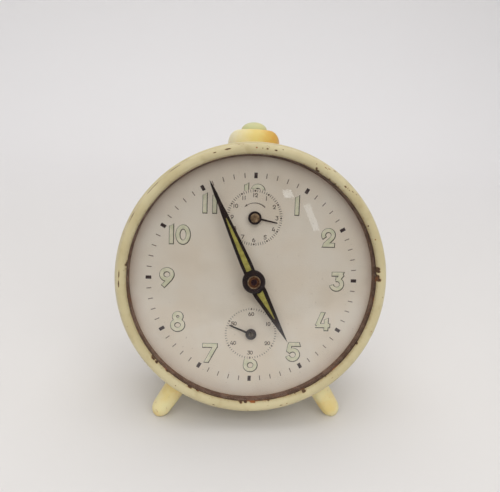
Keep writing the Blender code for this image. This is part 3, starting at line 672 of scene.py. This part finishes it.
def worn_by(points, chips):
    """How far the paint is gone at each point: 1 at a chip's middle, 0.5 at its outline, and less
    outside. A chip is (clock angle, radius, length round the rim, width across it), in mm."""
    angle, radius = around(points)
    worn = np.zeros(len(points))
    for clock, reach, length, width in chips:
        along = np.radians((np.degrees(angle) - clock + 180.0) % 360.0 - 180.0) * reach
        away = np.hypot(along / (length / 2.0), (radius - reach) / (width / 2.0))
        worn = np.maximum(worn, 1.0 - 0.5 * away)
    return worn


def enamel():
    """Stoved enamel. The paint is blotchy cream with fine rust specks and a faint orange peel; it
    is gone where worn passes a half, down to primer and rust, with a brown stain round the hole.
    The same brown, at a low worn value, is painted shade on the bezel's inner slope."""
    paint = start_finish("cream_enamel", 0.34, Coat_Weight=0.25, Coat_Roughness=0.2)
    tone = blend(paint, patches(paint, 14.0), CREAM, CREAM_LIGHT)
    dirt = patches(paint, 5.0, 0.52, 0.75, 0.0, 0.55, detail=5.0)
    tone = blend(paint, dirt, tone, CREAM_DIRTY)
    specks = patches(paint, 1.1, 0.715, 0.76, 0.0, 0.75, detail=2.0)
    tone = blend(paint, specks, tone, RUST_SPECK)
    worn = node(paint, "Attribute", {}, attribute_name="worn").outputs["Fac"]
    ragged = number(paint, "MULTIPLY", number(paint, "SUBTRACT", cloud(paint, 0.8, 4.0), 0.5), 0.5)
    depth = number(paint, "ADD", worn, ragged)
    # This brown is a real stain round chips; on the bezel's inner slope, where worn stays low, it is painted
    # shade.
    stain = between(paint, depth, 0.22, 0.5, 0.0, 0.6)
    tone = blend(paint, stain, tone, STAIN_AND_SHADE_BROWN)
    rust = blend(paint, patches(paint, 2.4, 0.42, 0.6), PRIMER, RUST_DARK)
    orange = patches(paint, 3.3, 0.56, 0.66, detail=4.0)
    rust = blend(paint, orange, rust, RUST_ORANGE)
    bare = between(paint, depth, 0.47, 0.53)
    feed(paint, "Base Color", blend(paint, bare, tone, rust))
    feed(paint, "Roughness", between(paint, depth, 0.4, 0.55, 0.34, 0.85))
    peel = number(paint, "MULTIPLY", cloud(paint, 1.6, 1.0), 0.2)
    emboss(paint, number(paint, "SUBTRACT", peel, bare), 0.05)
    return paint


def sunk_paint(points, sides, worn):
    """Lower a turned surface by the paint's depth, against its normal, where worn rises through a
    half, so that a chip has a real edge."""
    gone = np.clip((worn - 0.42) / 0.16, 0.0, 1.0)
    grid = points.reshape(-1, sides, 3)
    ahead = np.roll(grid, -1, axis=0) - np.roll(grid, 1, axis=0)
    sideways = np.roll(grid, -1, axis=1) - np.roll(grid, 1, axis=1)
    normal = np.cross(ahead, sideways)
    normal /= np.linalg.norm(normal, axis=2, keepdims=True) + 1e-12
    return points - PAINT_DEPTH * gone[:, None] * normal.reshape(-1, 3)


def cut_holes(piece, cutters):
    """Cut closed (points, faces) bodies, in mm, out of a piece."""
    for step, (points, faces) in enumerate(cutters):
        tool = add_mesh(f"cutter_{step}", on_clock(points), faces, None)
        hole = piece.modifiers.new("hole", "BOOLEAN")
        hole.solver, hole.operation, hole.object = "EXACT", "DIFFERENCE", tool
        shape = piece.evaluated_get(bpy.context.evaluated_depsgraph_get())
        mesh = bpy.data.meshes.new_from_object(shape)
        piece.modifiers.clear()
        piece.data = mesh
        bpy.data.objects.remove(tool)
    return piece


def along_radius(part, clock_angle, place):
    """Stand a turned part on the drum: its own z runs out along the radius at a clock angle."""
    points, faces = part
    turn = math.radians(clock_angle)
    out = np.array([math.sin(turn), math.cos(turn), 0.0])
    side = np.array([math.cos(turn), -math.sin(turn), 0.0])
    axes = np.stack([side, (0.0, 0.0, 1.0), out])
    return points @ axes + (0.0, 0.0, place), faces


cream_enamel = enamel()
drum_profile = softened([
    (47.4, 2.6, 0.2), (49.0, 2.6, 0.35), (BEAD_RADIUS, 1.9, 0.6), (BEAD_RADIUS, 0.7, 0.6),
    (48.9, 0.1, 0.3), (DRUM_RADIUS, -0.5, 0.4), (DRUM_RADIUS, -5.0, 0), (DRUM_RADIUS, -12.0, 0),
    (DRUM_RADIUS, -20.0, 0), (DRUM_RADIUS, -28.0, 0), (DRUM_RADIUS, DRUM_BACK, 3.4),
    (FLANGE_RADIUS, DRUM_BACK, 0.3), (FLANGE_RADIUS, DRUM_BACK + DRUM_WALL, 0.3),
    (47.4, DRUM_BACK + DRUM_WALL, 2.2), (47.4, -20.0, 0)], 9)
drum_points, drum_faces = turned(drum_profile, DRUM_SIDES)
drum_angle, drum_radius = around(drum_points)
bead = np.clip(1.0 - np.abs(drum_points[:, 2] - 1.0) / 1.3, 0.0, 1.0) * (drum_radius > 49.2)
corner = np.exp(-((drum_points[:, 2] + 37.2) / 1.0) ** 2) * (drum_radius > 46.0)
drum_worn = 0.30 * bead + 0.34 * bead * ripple(drum_angle, 3.0, 9, 400)
drum_worn = np.maximum(drum_worn, 0.26 * corner + 0.3 * corner * ripple(drum_angle, 5.0, 7, 300))
drum = add_piece("drum", [(sunk_paint(drum_points, DRUM_SIDES, drum_worn), drum_faces)],
                 cream_enamel, "case", ["case_drum"], values={"worn": drum_worn})
plug = [(0.0, 52.0), (1.0, 52.0), (1.0, 40.0), (0.0, 40.0)]
holes = [(0.0, BUTTON_PLACE, 2.1), (180.0 - FOOT_ANGLE, FOOT_PLACE, 1.9),
         (180.0 + FOOT_ANGLE, FOOT_PLACE, 1.9)]
cut_holes(drum, [along_radius(turned(np.array(plug) * (size, 1.0), 32), angle, place)
                 for angle, place, size in holes])


# ----------------------------------------
# The bezel: a half-round ring of rolled steel whose skirt slips into the drum, enamelled like it.
# Its paint is chipped along the crest, and has flaked off most of all round its inner edge. Its
# inner slope is painted browner, as painted shade.

BEZEL_RADIUS, LIP_RADIUS = 48.8, 45.0
CREST, CREST_ROUND = (46.9, 3.85), 1.9      # radius and height of its round front's middle
BEZEL_SIDES = 1440
BEZEL_CHIPS = [
    (341.5, 47.4, 1.1, 0.35), (347.2, 47.5, 1.9, 0.45), (359.3, 47.2, 0.6, 0.45),
    (1.9, 47.1, 0.35, 0.3), (3.9, 47.0, 0.7, 0.5), (7.6, 46.9, 1.0, 0.45), (10.5, 47.6, 0.5, 0.2),
    (26.1, 47.1, 0.35, 0.3), (27.1, 45.8, 0.8, 0.7), (28.0, 45.3, 1.4, 0.6),
    (30.3, 47.6, 0.9, 0.25), (31.9, 48.0, 1.1, 0.2), (34.6, 48.6, 1.2, 0.3), (42.2, 46.8, 0.9, 0.5),
    (44.5, 46.9, 0.4, 0.3), (46.0, 47.5, 0.8, 0.25), (48.0, 47.9, 0.6, 0.25),
    (62.7, 45.7, 0.5, 0.4), (69.6, 46.3, 0.5, 0.45), (83.3, 45.3, 1.5, 1.7), (84.4, 45.6, 0.9, 1.2),
    (86.9, 45.2, 1.6, 1.5), (88.2, 45.5, 1.3, 1.6), (276.4, 45.2, 1.0, 1.0),
    (277.3, 45.0, 0.5, 0.8), (272.0, 47.4, 2.6, 0.35), (268.0, 47.5, 2.4, 0.4),
    (231.0, 45.1, 1.8, 1.1), (228.5, 45.3, 1.2, 0.7), (222.0, 45.0, 1.6, 0.5),
    (215.0, 47.1, 0.4, 0.4), (209.0, 45.1, 1.6, 0.6), (205.0, 45.0, 1.3, 0.5),
    (184.0, 45.2, 1.1, 0.75), (181.8, 45.1, 1.2, 0.6), (178.5, 45.1, 2.0, 0.55),
    (171.0, 45.0, 1.0, 0.5), (165.7, 47.4, 1.1, 0.3), (163.0, 47.3, 0.6, 0.25),
    (153.9, 45.4, 1.6, 0.9), (196.0, 47.6, 0.9, 0.25), (120.0, 45.1, 1.0, 0.5),
    (112.0, 47.4, 0.4, 0.3), (96.0, 47.8, 0.4, 0.3), (323.8, 48.5, 5.0, 0.17),
    (311.8, 48.4, 6.5, 0.17), (296.8, 48.4, 4.0, 0.16)]
EDGE_WEAR = [(0.0, 0.1), (20.0, 0.16), (30.0, 0.3), (55.0, 0.2), (75.0, 0.14), (110.0, 0.1),
             (150.0, 0.14), (185.0, 0.2), (205.0, 0.18), (232.0, 0.2), (250.0, 0.1), (335.0, 0.1),
             (360.0, 0.1)]

bezel_profile = np.concatenate([
    [(LIP_RADIUS, 3.42), (LIP_RADIUS, 3.7)], bow(CREST, CREST_ROUND, CREST_ROUND, 176.0, 4.0, 40),
    [(BEZEL_RADIUS, 3.3), (48.7, 3.02), (47.0, 3.0), (47.0, 0.0), (47.0, -1.8), (46.6, -1.8),
     (46.6, 0.0), (46.6, 3.4)]])
bezel_points, bezel_faces = turned(bezel_profile, BEZEL_SIDES)
bezel_angle, bezel_reach = around(bezel_points)
front = bezel_points[:, 2] > 3.3
inner_edge = np.clip(1.0 - (bezel_reach - LIP_RADIUS) / 1.1, 0.0, 1.0) * front
amount = np.interp(np.degrees(bezel_angle) % 360.0, *np.array(EDGE_WEAR).T)
bezel_wear_and_shade = inner_edge * (amount + 0.26 * ripple(bezel_angle, 1.0, 12, 700))
bezel_wear_and_shade = np.maximum(bezel_wear_and_shade, worn_by(bezel_points, BEZEL_CHIPS) * front)
seam = np.clip(1.0 - np.abs(bezel_reach - 48.55) / 0.35, 0.0, 1.0) * front
scratched = ripple(bezel_angle, 2.0, 6, 60) + 0.6 * ripple(bezel_angle, 7.0, 60, 500)
bezel_wear_and_shade = np.maximum(bezel_wear_and_shade, seam * (0.2 + 0.18 * scratched))
bezel_wear_and_shade = np.maximum(bezel_wear_and_shade, 0.85 * (bezel_reach < LIP_RADIUS + 0.03))
# Painted shade: the bezel's inner slope gets a low worn value that colours it stain brown, standing in for the
# shade it lies in.
painted_inner_slope_shade = np.clip(1.0 - (bezel_reach - LIP_RADIUS) / 1.7, 0.0, 1.0) * front
bezel_wear_and_shade = np.maximum(bezel_wear_and_shade, 0.37 * painted_inner_slope_shade)
add_piece("bezel_ring", [(sunk_paint(bezel_points, BEZEL_SIDES, bezel_wear_and_shade), bezel_faces)],
          cream_enamel, "case", ["bezel"], values={"worn": bezel_wear_and_shade})


# ----------------------------------------
# The glass ring: a strip of bare spring steel, quite rusty, that holds the glass off the dial.

RING_PROFILE = [(44.5, 1.78, 0.05), (46.2, 1.78, 0.1), (46.2, 0.1, 0.1), (44.2, 0.1, 0.1)]
RING_BROWN, RING_PALE, RING_ORANGE = (128, 102, 88), (158, 130, 114), (142, 88, 52)


def rusty_steel():
    """Steel under a skin of rust: dark brown, orange in patches, pitted and matt."""
    metal = start_finish("rusty_ring_steel", 0.8, 0.15)
    tone = blend(metal, patches(metal, 3.0, 0.4, 0.62, detail=5.0), RING_BROWN, RING_PALE)
    orange = patches(metal, 6.0, 0.6, 0.72, 0.0, 0.6, detail=4.0)
    feed(metal, "Base Color", blend(metal, orange, tone, RING_ORANGE))
    feed(metal, "Roughness", patches(metal, 1.0, 0.3, 0.7, 0.6, 0.95))
    emboss(metal, cloud(metal, 0.5, 4.0), 0.08)
    return metal


add_piece("rusty_glass_ring", [turned(softened(RING_PROFILE), 360)], rusty_steel(), "case",
          ["glass_ring"])


# ----------------------------------------
# The glass: pressed clear glass, strongly domed, with a flat rim that the bezel holds down.

GLASS_RADIUS, GLASS_RISE, GLASS_RIM, GLASS_WALL, GLASS_POWER = 44.4, 8.2, 3.3, 1.2, 2.6


def dome(reach, lowered):
    """Height of the domed glass: rim + rise (1 - (reach / radius) ^ 2.6), lowered by its wall."""
    return GLASS_RIM - lowered + GLASS_RISE * (1.0 - (reach / GLASS_RADIUS) ** GLASS_POWER)


def clear_glass():
    """Clear glass with a little dust and handling on it. Light from lamps goes straight through,
    so that the dial under it is lit."""
    glass = start_finish("clear_glass", 0.02, IOR=1.45, Transmission_Weight=1.0)
    dust = patches(glass, 12.0, 0.5, 0.75, detail=5.0)
    feed(glass, "Base Color", blend(glass, dust, (255, 255, 254), (250, 249, 246)))
    feed(glass, "Roughness", patches(glass, 8.0, 0.45, 0.8, 0.03, 0.07, detail=3.0))
    tree = glass.node_tree
    path = node(glass, "LightPath", {}).outputs["Is Shadow Ray"]
    clear = node(glass, "BsdfTransparent", {}).outputs[0]
    shader = tree.nodes["Principled BSDF"].outputs[0]
    joined = node(glass, "MixShader", {0: path, 1: shader, 2: clear}).outputs[0]
    tree.links.new(joined, tree.nodes["Material Output"].inputs["Surface"])
    return glass


outer_reach, inner_reach = np.linspace(0.0, 45.7, 80), np.linspace(44.6, 0.0, 80)
glass_profile = np.concatenate([
    pairs(outer_reach, dome(outer_reach, 0.0)), [(46.3, 2.68), (46.3, 2.02), (44.7, 2.02)],
    pairs(inner_reach, dome(inner_reach, GLASS_WALL))])
add_piece("domed_glass", [turned(glass_profile, 360)], clear_glass(), "case", ["glass"],
          sharp=60.0)


# ----------------------------------------
# The feet: two tapered legs of cast yellow-cream plastic with round tips, each held by a stud
# through the drum and a nut inside. Their undersides are rubbed flat where they stand.

FOOT_REACH, FOOT_TIP_RADIUS, FOOT_TIP = 64.7, 3.6, 4.6
FOOT_CREAM, FOOT_YELLOW, FOOT_GRIME = (230, 217, 165), (225, 203, 136), (170, 142, 88)


def cast_plastic(name, pale, deep, grime, gloss):
    """Old cast plastic: it lets a little light in, has yellowed in clouds, and holds some grime."""
    plastic = start_finish(name, gloss, Subsurface_Weight=0.15, Subsurface_Scale=0.002)
    tone = blend(plastic, patches(plastic, 9.0, 0.38, 0.62), pale, deep)
    spots = patches(plastic, 1.6, 0.62, 0.78, 0.0, 0.6, detail=5.0)
    feed(plastic, "Base Color", blend(plastic, spots, tone, grime))
    feed(plastic, "Roughness", patches(plastic, 4.0, 0.35, 0.65, gloss, gloss + 0.2))
    emboss(plastic, cloud(plastic, 2.2, 2.0), 0.06)
    return plastic


foot_plastic = cast_plastic("foot_cast_plastic", FOOT_CREAM, FOOT_YELLOW, FOOT_GRIME, 0.36)
foot_profile = np.concatenate([
    [(0.0, 45.0), (1.4, 45.0), (1.4, 48.2)], [(3.2, 48.2), (3.8, 48.35), (3.92, 48.8)],
    pairs(3.9 - 0.2 * np.linspace(0.0, 1.0, 12) ** 2, np.linspace(49.4, 58.0, 12)),
    bow((0.0, FOOT_REACH - FOOT_TIP), FOOT_TIP_RADIUS, FOOT_TIP, 0.0, 90.0, 16)])
foot_profile[-1, 0] = 0.0
for side, word in ((-1, "left"), (1, "right")):
    leg = along_radius(turned(foot_profile, 64), 180.0 - side * FOOT_ANGLE, FOOT_PLACE)
    add_piece(f"{word}_leg", [leg], foot_plastic, "case", [f"foot_{word}"],
              sharp=50.0, floor=0.0)


# ----------------------------------------
# The alarm's stop button on top: a pale green domed cap on a stem, in a domed yellow collar that
# is saddled on the drum. The collar is coloured pale on its left and amber on its right-hand side.

COLLAR_SADDLE = 48.25                       # the nearest that the collar comes to the middle line
COLLAR_PALE, COLLAR_YELLOW, COLLAR_AMBER = (226, 216, 178), (218, 197, 120), (212, 160, 58)
CAP_GREEN, CAP_YELLOW, CAP_GRIME = (196, 196, 146), (200, 192, 128), (150, 138, 84)


def collar_plastic():
    """The collar's plastic: pale on the left, yellow in the middle and amber on the right."""
    plastic = cast_plastic("collar_cast_plastic", COLLAR_PALE, COLLAR_PALE, (176, 140, 66), 0.3)
    place = node(plastic, "TexCoord", {}).outputs["Object"]
    across = node(plastic, "SeparateXYZ", {0: place}).outputs[0]
    drift = number(plastic, "MULTIPLY", cloud(plastic, 5.0), 0.008)
    across = number(plastic, "ADD", across, drift)
    yellow = between(plastic, across, -0.005, 0.004)
    amber = between(plastic, across, 0.004, 0.012)
    tone = blend(plastic, amber, blend(plastic, yellow, COLLAR_PALE, COLLAR_YELLOW), COLLAR_AMBER)
    feed(plastic, "Base Color", tone)
    return plastic


collar_profile = np.concatenate([
    [(5.3, 54.35), (5.5, 54.55)], bow((5.9, 49.6), 3.85, 5.0, 90.0, 0.0, 24)[1:],
    pairs(9.75, np.linspace(49.2, 46.0, 8)), [(5.3, 46.0), (5.3, 50.0)]])
collar_points, collar_faces = along_radius(turned(collar_profile, 96), 0.0, BUTTON_PLACE)
lift = np.maximum(1.0, COLLAR_SADDLE / around(collar_points)[1])
collar_points[:, :2] *= lift[:, None]
add_piece("domed_collar", [(collar_points, collar_faces)], collar_plastic(), "case",
          ["button_collar"], sharp=50.0)

cap = bow((0.0, 54.5), 4.9, 3.14, 90.0, 0.0, 20)
cap[0, 0] = 0.0
cap_profile = np.concatenate([cap, [(5.0, 54.3), (5.0, 52.5), (1.5, 52.4), (1.5, 44.3), (1.3, 44.2),
                                    (0.0, 44.2)]])
button_plastic = cast_plastic("button_cast_plastic", CAP_GREEN, CAP_YELLOW, CAP_GRIME, 0.34)
add_piece("domed_button", [along_radius(turned(cap_profile, 64), 0.0, BUTTON_PLACE)],
          button_plastic, "stop_button", ["stop_button"], sharp=50.0)


# ----------------------------------------
# The back cover: a shallow pressed dish that is also the bell the hammer strikes, enamelled like
# the drum. It has holes for the keys and the knobs, and a slot for the regulator; none is cut for the screws.

COVER_RADIUS = 46.2
ARBOR_HOLE, KEY_HOLE, SLOT_WIDTH, SLOT_RADIUS = 1.5, 2.3, 2.4, 9.0
COVER_SCREWS = ((-33.0, -22.0), (32.0, -22.0))
KEYS = {"": axle("winding_turn"), "alarm_": axle("alarm_winding_turn")}
REGULATOR = axle("regulator_turn")

cover_profile = softened([
    (0.0, -37.8, 0), (12.0, -37.8, 0), (24.0, -37.8, 0), (34.0, -37.8, 0), (41.2, -37.8, 0.5),
    (42.3, -37.0, 0.4), (42.3, -36.2, 0.3), (COVER_RADIUS, -36.2, 0.1), (COVER_RADIUS, -36.8, 0.1),
    (42.9, -36.8, 0.1), (42.9, -37.4, 0.4), (41.5, -38.4, 0.7), (38.6, -38.4, 0.3),
    (38.0, -38.25, 0.3), (36.8, -38.25, 0.3), (36.2, -38.4, 0.3), (24.0, -38.4, 0),
    (12.0, -38.4, 0), (0.0, -38.4, 0)])
cover_points, cover_faces = turned(cover_profile, 360)
cover_angle, cover_radius = around(cover_points)
edge = np.exp(-((cover_radius - 42.2) / 0.8) ** 2)
cover_worn = edge * (0.3 + 0.3 * ripple(cover_angle, 4.0, 8, 300))
cover = add_piece("sounding_cover", [(cover_points, cover_faces)], cream_enamel, "case",
                  ["back_cover"], values={"worn": cover_worn})


def drill(middle, radius):
    """A round cutter through the back cover."""
    return turned([(0.0, -34.0), (radius, -34.0), (radius, -42.0), (0.0, -42.0)], 40, middle)


arc_slot = bow(REGULATOR, SLOT_RADIUS, SLOT_RADIUS, -28.0, 28.0)
cut_holes(cover, [drill((0.0, 0.0), ARBOR_HOLE), drill(ALARM_DIAL, ARBOR_HOLE), *(
    drill(middle, KEY_HOLE) for middle in KEYS.values()), stroke(arc_slot, SLOT_WIDTH, -42.0, -34.0)])


# ----------------------------------------
# The keys and knobs on the back: two winding keys with flat rounded wings and two small knurled
# knobs that set the hands and the alarm, all plated, and the two slotted steel screws of the cover.

KEY_FRONT = -39.4
WING = [(1.4, -43.0, 0), (3.4, -43.0, 0.6), (5.2, -42.4, 1.2), (10.4, -42.4, 2.6),
        (10.4, -52.0, 2.6), (5.0, -52.0, 1.8), (2.2, -48.4, 0.8), (1.4, -48.4, 0)]
WING_LAYERS = ((-0.8, 0.3), (-0.62, 0.08), (0.0, 0.0), (0.62, 0.08), (0.8, 0.3))   # depth, inset
PLATED_LIGHT, PLATED_DARK = (196, 176, 132), (136, 110, 70)


def wing(side):
    """One wing: its rounded outline at five depths through its thickness, the outer ones drawn in
    by their inset, closed with a face on each side."""
    outline = softened(WING, 7)
    middle = outline.mean(axis=0)
    away = (outline - middle) / np.linalg.norm(outline - middle, axis=1, keepdims=True)
    rows = []
    for depth, inset in WING_LAYERS:
        loop = outline - inset * away
        rows.append(np.stack([side * loop[:, 0], np.full(len(loop), depth), loop[:, 1]], axis=1))
    count = len(outline)
    faces = grid_faces(5, count) + [list(range(count)), list(range(5 * count - 1, 4 * count - 1, -1))]
    return np.concatenate(rows), faces


def knurled(outer, inner, ribs, front, back):
    """A knurled drum: its radius swings between inner and outer as a sine of ribs times the turn,
    and both its edges are chamfered."""
    turn = np.linspace(0.0, 2.0 * np.pi, ribs * 8, endpoint=False)
    wave = inner + (outer - inner) * (0.5 + 0.5 * np.sin(ribs * turn))
    rows = [(0.0, front), (0.9, front), (1.0, front - 0.35), (1.0, back + 0.35), (0.9, back),
            (0.55, back), (0.5, back + 0.25), (0.0, back + 0.25)]
    points = [np.stack([share * wave * np.cos(turn), share * wave * np.sin(turn),
                        np.full(len(turn), z)], axis=1) for share, z in rows]
    return np.concatenate(points), grid_faces(len(rows), len(turn))


def moved(part, middle):
    """The part shifted on the clock's face."""
    points, faces = part
    return points + (middle[0], middle[1], 0.0), faces


plated = bright_metal("worn_plated_brass", PLATED_LIGHT, PLATED_DARK, 0.3)
hub = softened([(2.0, KEY_FRONT, 0.1), (2.7, KEY_FRONT, 0.3), (2.7, -41.2, 0.2), (2.45, -41.8, 0.2),
                (2.45, -44.9, 0.2), (2.0, -45.6, 0.4), (0.0, -45.6, 0), (0.0, -44.6, 0),
                (2.0, -44.6, 0)])
for prefix, middle in KEYS.items():
    body = prefix + "winding_arbor"
    add_piece(prefix + "key", [moved(part, middle) for part in (turned(hub, 48), wing(1), wing(-1))],
              plated, body, [prefix + "winding_key"])

boss = softened([(1.15, -39.6, 0), (3.0, -39.6, 0.3), (3.0, -41.8, 0), (1.15, -41.8, 0)])
for name, middle, body in (("setting", (0.0, 0.0), "minute_arbor"),
                           ("alarm", ALARM_DIAL, "alarm_setting")):
    parts = [turned(boss, 36), knurled(5.6, 5.25, 30, -41.6, -46.4)]
    add_piece(name + "_knurled_knob", [moved(part, middle) for part in parts], plated, body,
              [name + "_knob"])

head = softened([(0.0, -39.8, 0), (1.2, -39.8, 0.3), (2.2, -39.4, 0.3), (2.2, -38.8, 0.1),
                 (0.9, -38.8, 0), (0.9, -33.0, 0.2), (0.0, -33.0, 0)])
for word, middle in zip(("left", "right"), COVER_SCREWS):
    screw = add_piece(f"{word}_cover_screw", [turned(head, 40, middle)], steel, "case",
                      [f"cover_screw_{word}"])
    cut_holes(screw, [moved(bars([90.0], 0.0, 6.0, 0.55, -41.0, -39.35), middle)])


# ----------------------------------------
# The table and the wall behind it: one sheet of pale paper that sweeps up from floor to wall.

PAPER_NEAR, PAPER_FAR, PAPER_TOP, PAPER_BEND, PAPER_HALF_WIDTH = -0.9, 0.42, 1.3, 0.3, 1.4   # m
PAPER_WALL_PAINTED_LIGHT, PAPER_FLOOR, PAPER_SHADE = (238, 236, 236), (219, 216, 213), (70, 67, 65)


def paper():
    """Matt white paper, faintly uneven. It is painted brighter up the wall, as painted light, and the
    part that lies in front of the clock is painted dark, as painted shade."""
    sheet = start_finish("pale_paper", 0.8)
    place = node(sheet, "TexCoord", {}).outputs["Object"]
    depth = node(sheet, "SeparateXYZ", {0: place}).outputs[1]
    depth = number(sheet, "ADD", depth, number(sheet, "MULTIPLY", cloud(sheet, 160.0), 0.06))
    # Painted light: the sheet grows brighter up the wall. Painted shade: it turns dark in front of the clock.
    tone = blend(sheet, between(sheet, depth, 0.03, 0.78), PAPER_FLOOR, PAPER_WALL_PAINTED_LIGHT)
    feed(sheet, "Base Color", blend(sheet, between(sheet, depth, -0.34, -0.1), PAPER_SHADE, tone))
    emboss(sheet, cloud(sheet, 1.5, 3.0), 0.03)
    return sheet


sweep = np.concatenate([
    [(PAPER_NEAR, 0.0)], bow((PAPER_FAR, PAPER_BEND), PAPER_BEND, PAPER_BEND, -90.0, 0.0, 24),
    [(PAPER_FAR + PAPER_BEND, PAPER_TOP)]])
sheet_points = np.stack([np.column_stack([np.full(len(sweep), x), sweep]) for x in
                         (PAPER_HALF_WIDTH, -PAPER_HALF_WIDTH)]).reshape(-1, 3)
backdrop = add_mesh("paper_sweep", sheet_points, grid_faces(2, len(sweep), False, False), paper())


# ----------------------------------------
# The light: an even pale room, a large soft lamp high over the clock, a broad one in front, and
# two small bright panes high on the right that show as glints in the glass.

ROOM_FRONT, ROOM_BACK = (72, 70, 70), (212, 212, 214)
SKY = (0.9, 0.97, 1.0)
LAMPS = (                    # name, place and size in metres, watts, and whether glass mirrors it
    ("overhead", (0.0, 0.1, 1.2), (1.3, 1.3), 7.0, False),
    ("front", (0.0, -0.95, 0.7), (1.8, 1.1), 11.3, False),
    ("square_pane", (0.269, -0.570, 0.606), (0.065, 0.065), 0.034, True),
    ("tall_pane", (0.413, -0.612, 0.455), (0.055, 0.19), 0.055, True),
)

world = bpy.data.worlds.new("room")
world.use_nodes = True
heading = node(world, "TexCoord", {}).outputs["Generated"]
depth_way = node(world, "SeparateXYZ", {0: heading}).outputs[1]
shade = blend(world, between(world, depth_way, -0.9, 0.35), ROOM_FRONT, ROOM_BACK)
world.node_tree.links.new(shade, world.node_tree.nodes["Background"].inputs["Color"])
bpy.context.scene.world = world
bpy.context.scene.view_settings.view_transform = "Standard"


def standing(x, y, z, place):
    """The matrix of an object at a place, with its own axes along x, y and z."""
    matrix = np.identity(4)
    matrix[:3] = np.stack([x, y, z, place], axis=1)
    return Matrix(matrix.tolist())


def add_lamp(name, place, size, watts, mirrored):
    """A soft rectangular lamp that looks at the clock's middle."""
    lamp = bpy.data.lights.new(name, "AREA")
    lamp.shape, lamp.size, lamp.size_y, lamp.energy = "RECTANGLE", *size, watts
    holder = bpy.data.objects.new(name, lamp)
    bpy.context.scene.collection.objects.link(holder)
    z = (place - MIDDLE) / np.linalg.norm(place - MIDDLE)
    x = np.cross((0.0, 0.0, 1.0), z) / np.hypot(z[0], z[1])
    holder.matrix_world = standing(x, np.cross(z, x), z, place)
    holder.visible_glossy = holder.visible_transmission = mirrored
    if mirrored:
        lamp.color = SKY


for lamp in LAMPS:
    add_lamp(*lamp)


# ----------------------------------------
# The camera: a short lens close in front, a little left of the clock and above its middle.

CAMERA_PLACE = (-18.17, 36.37, 201.56)
CAMERA_YAW, CAMERA_PITCH, CAMERA_ROLL = 4.79, 6.84, 1.93
LENS = 40.32

yaw, pitch, roll = (math.radians(angle) for angle in (CAMERA_YAW, CAMERA_PITCH, CAMERA_ROLL))
ahead = np.array([math.sin(yaw) * math.cos(pitch), -math.sin(pitch), -math.cos(yaw) * math.cos(pitch)])
level = np.array([math.cos(yaw), 0.0, math.sin(yaw)])
overhead = np.cross(level, ahead)
to_right = math.cos(roll) * level + math.sin(roll) * overhead
to_top = math.cos(roll) * overhead - math.sin(roll) * level
lens = bpy.data.cameras.new("camera")
lens.lens = LENS
lens.clip_start = 0.01
camera = bpy.data.objects.new("camera", lens)
bpy.context.scene.collection.objects.link(camera)
axes = np.stack([to_right, to_top, -ahead]) @ np.stack([RIGHT, UP, OUT])
camera.matrix_world = standing(*axes, on_clock(CAMERA_PLACE))
bpy.context.scene.camera = camera
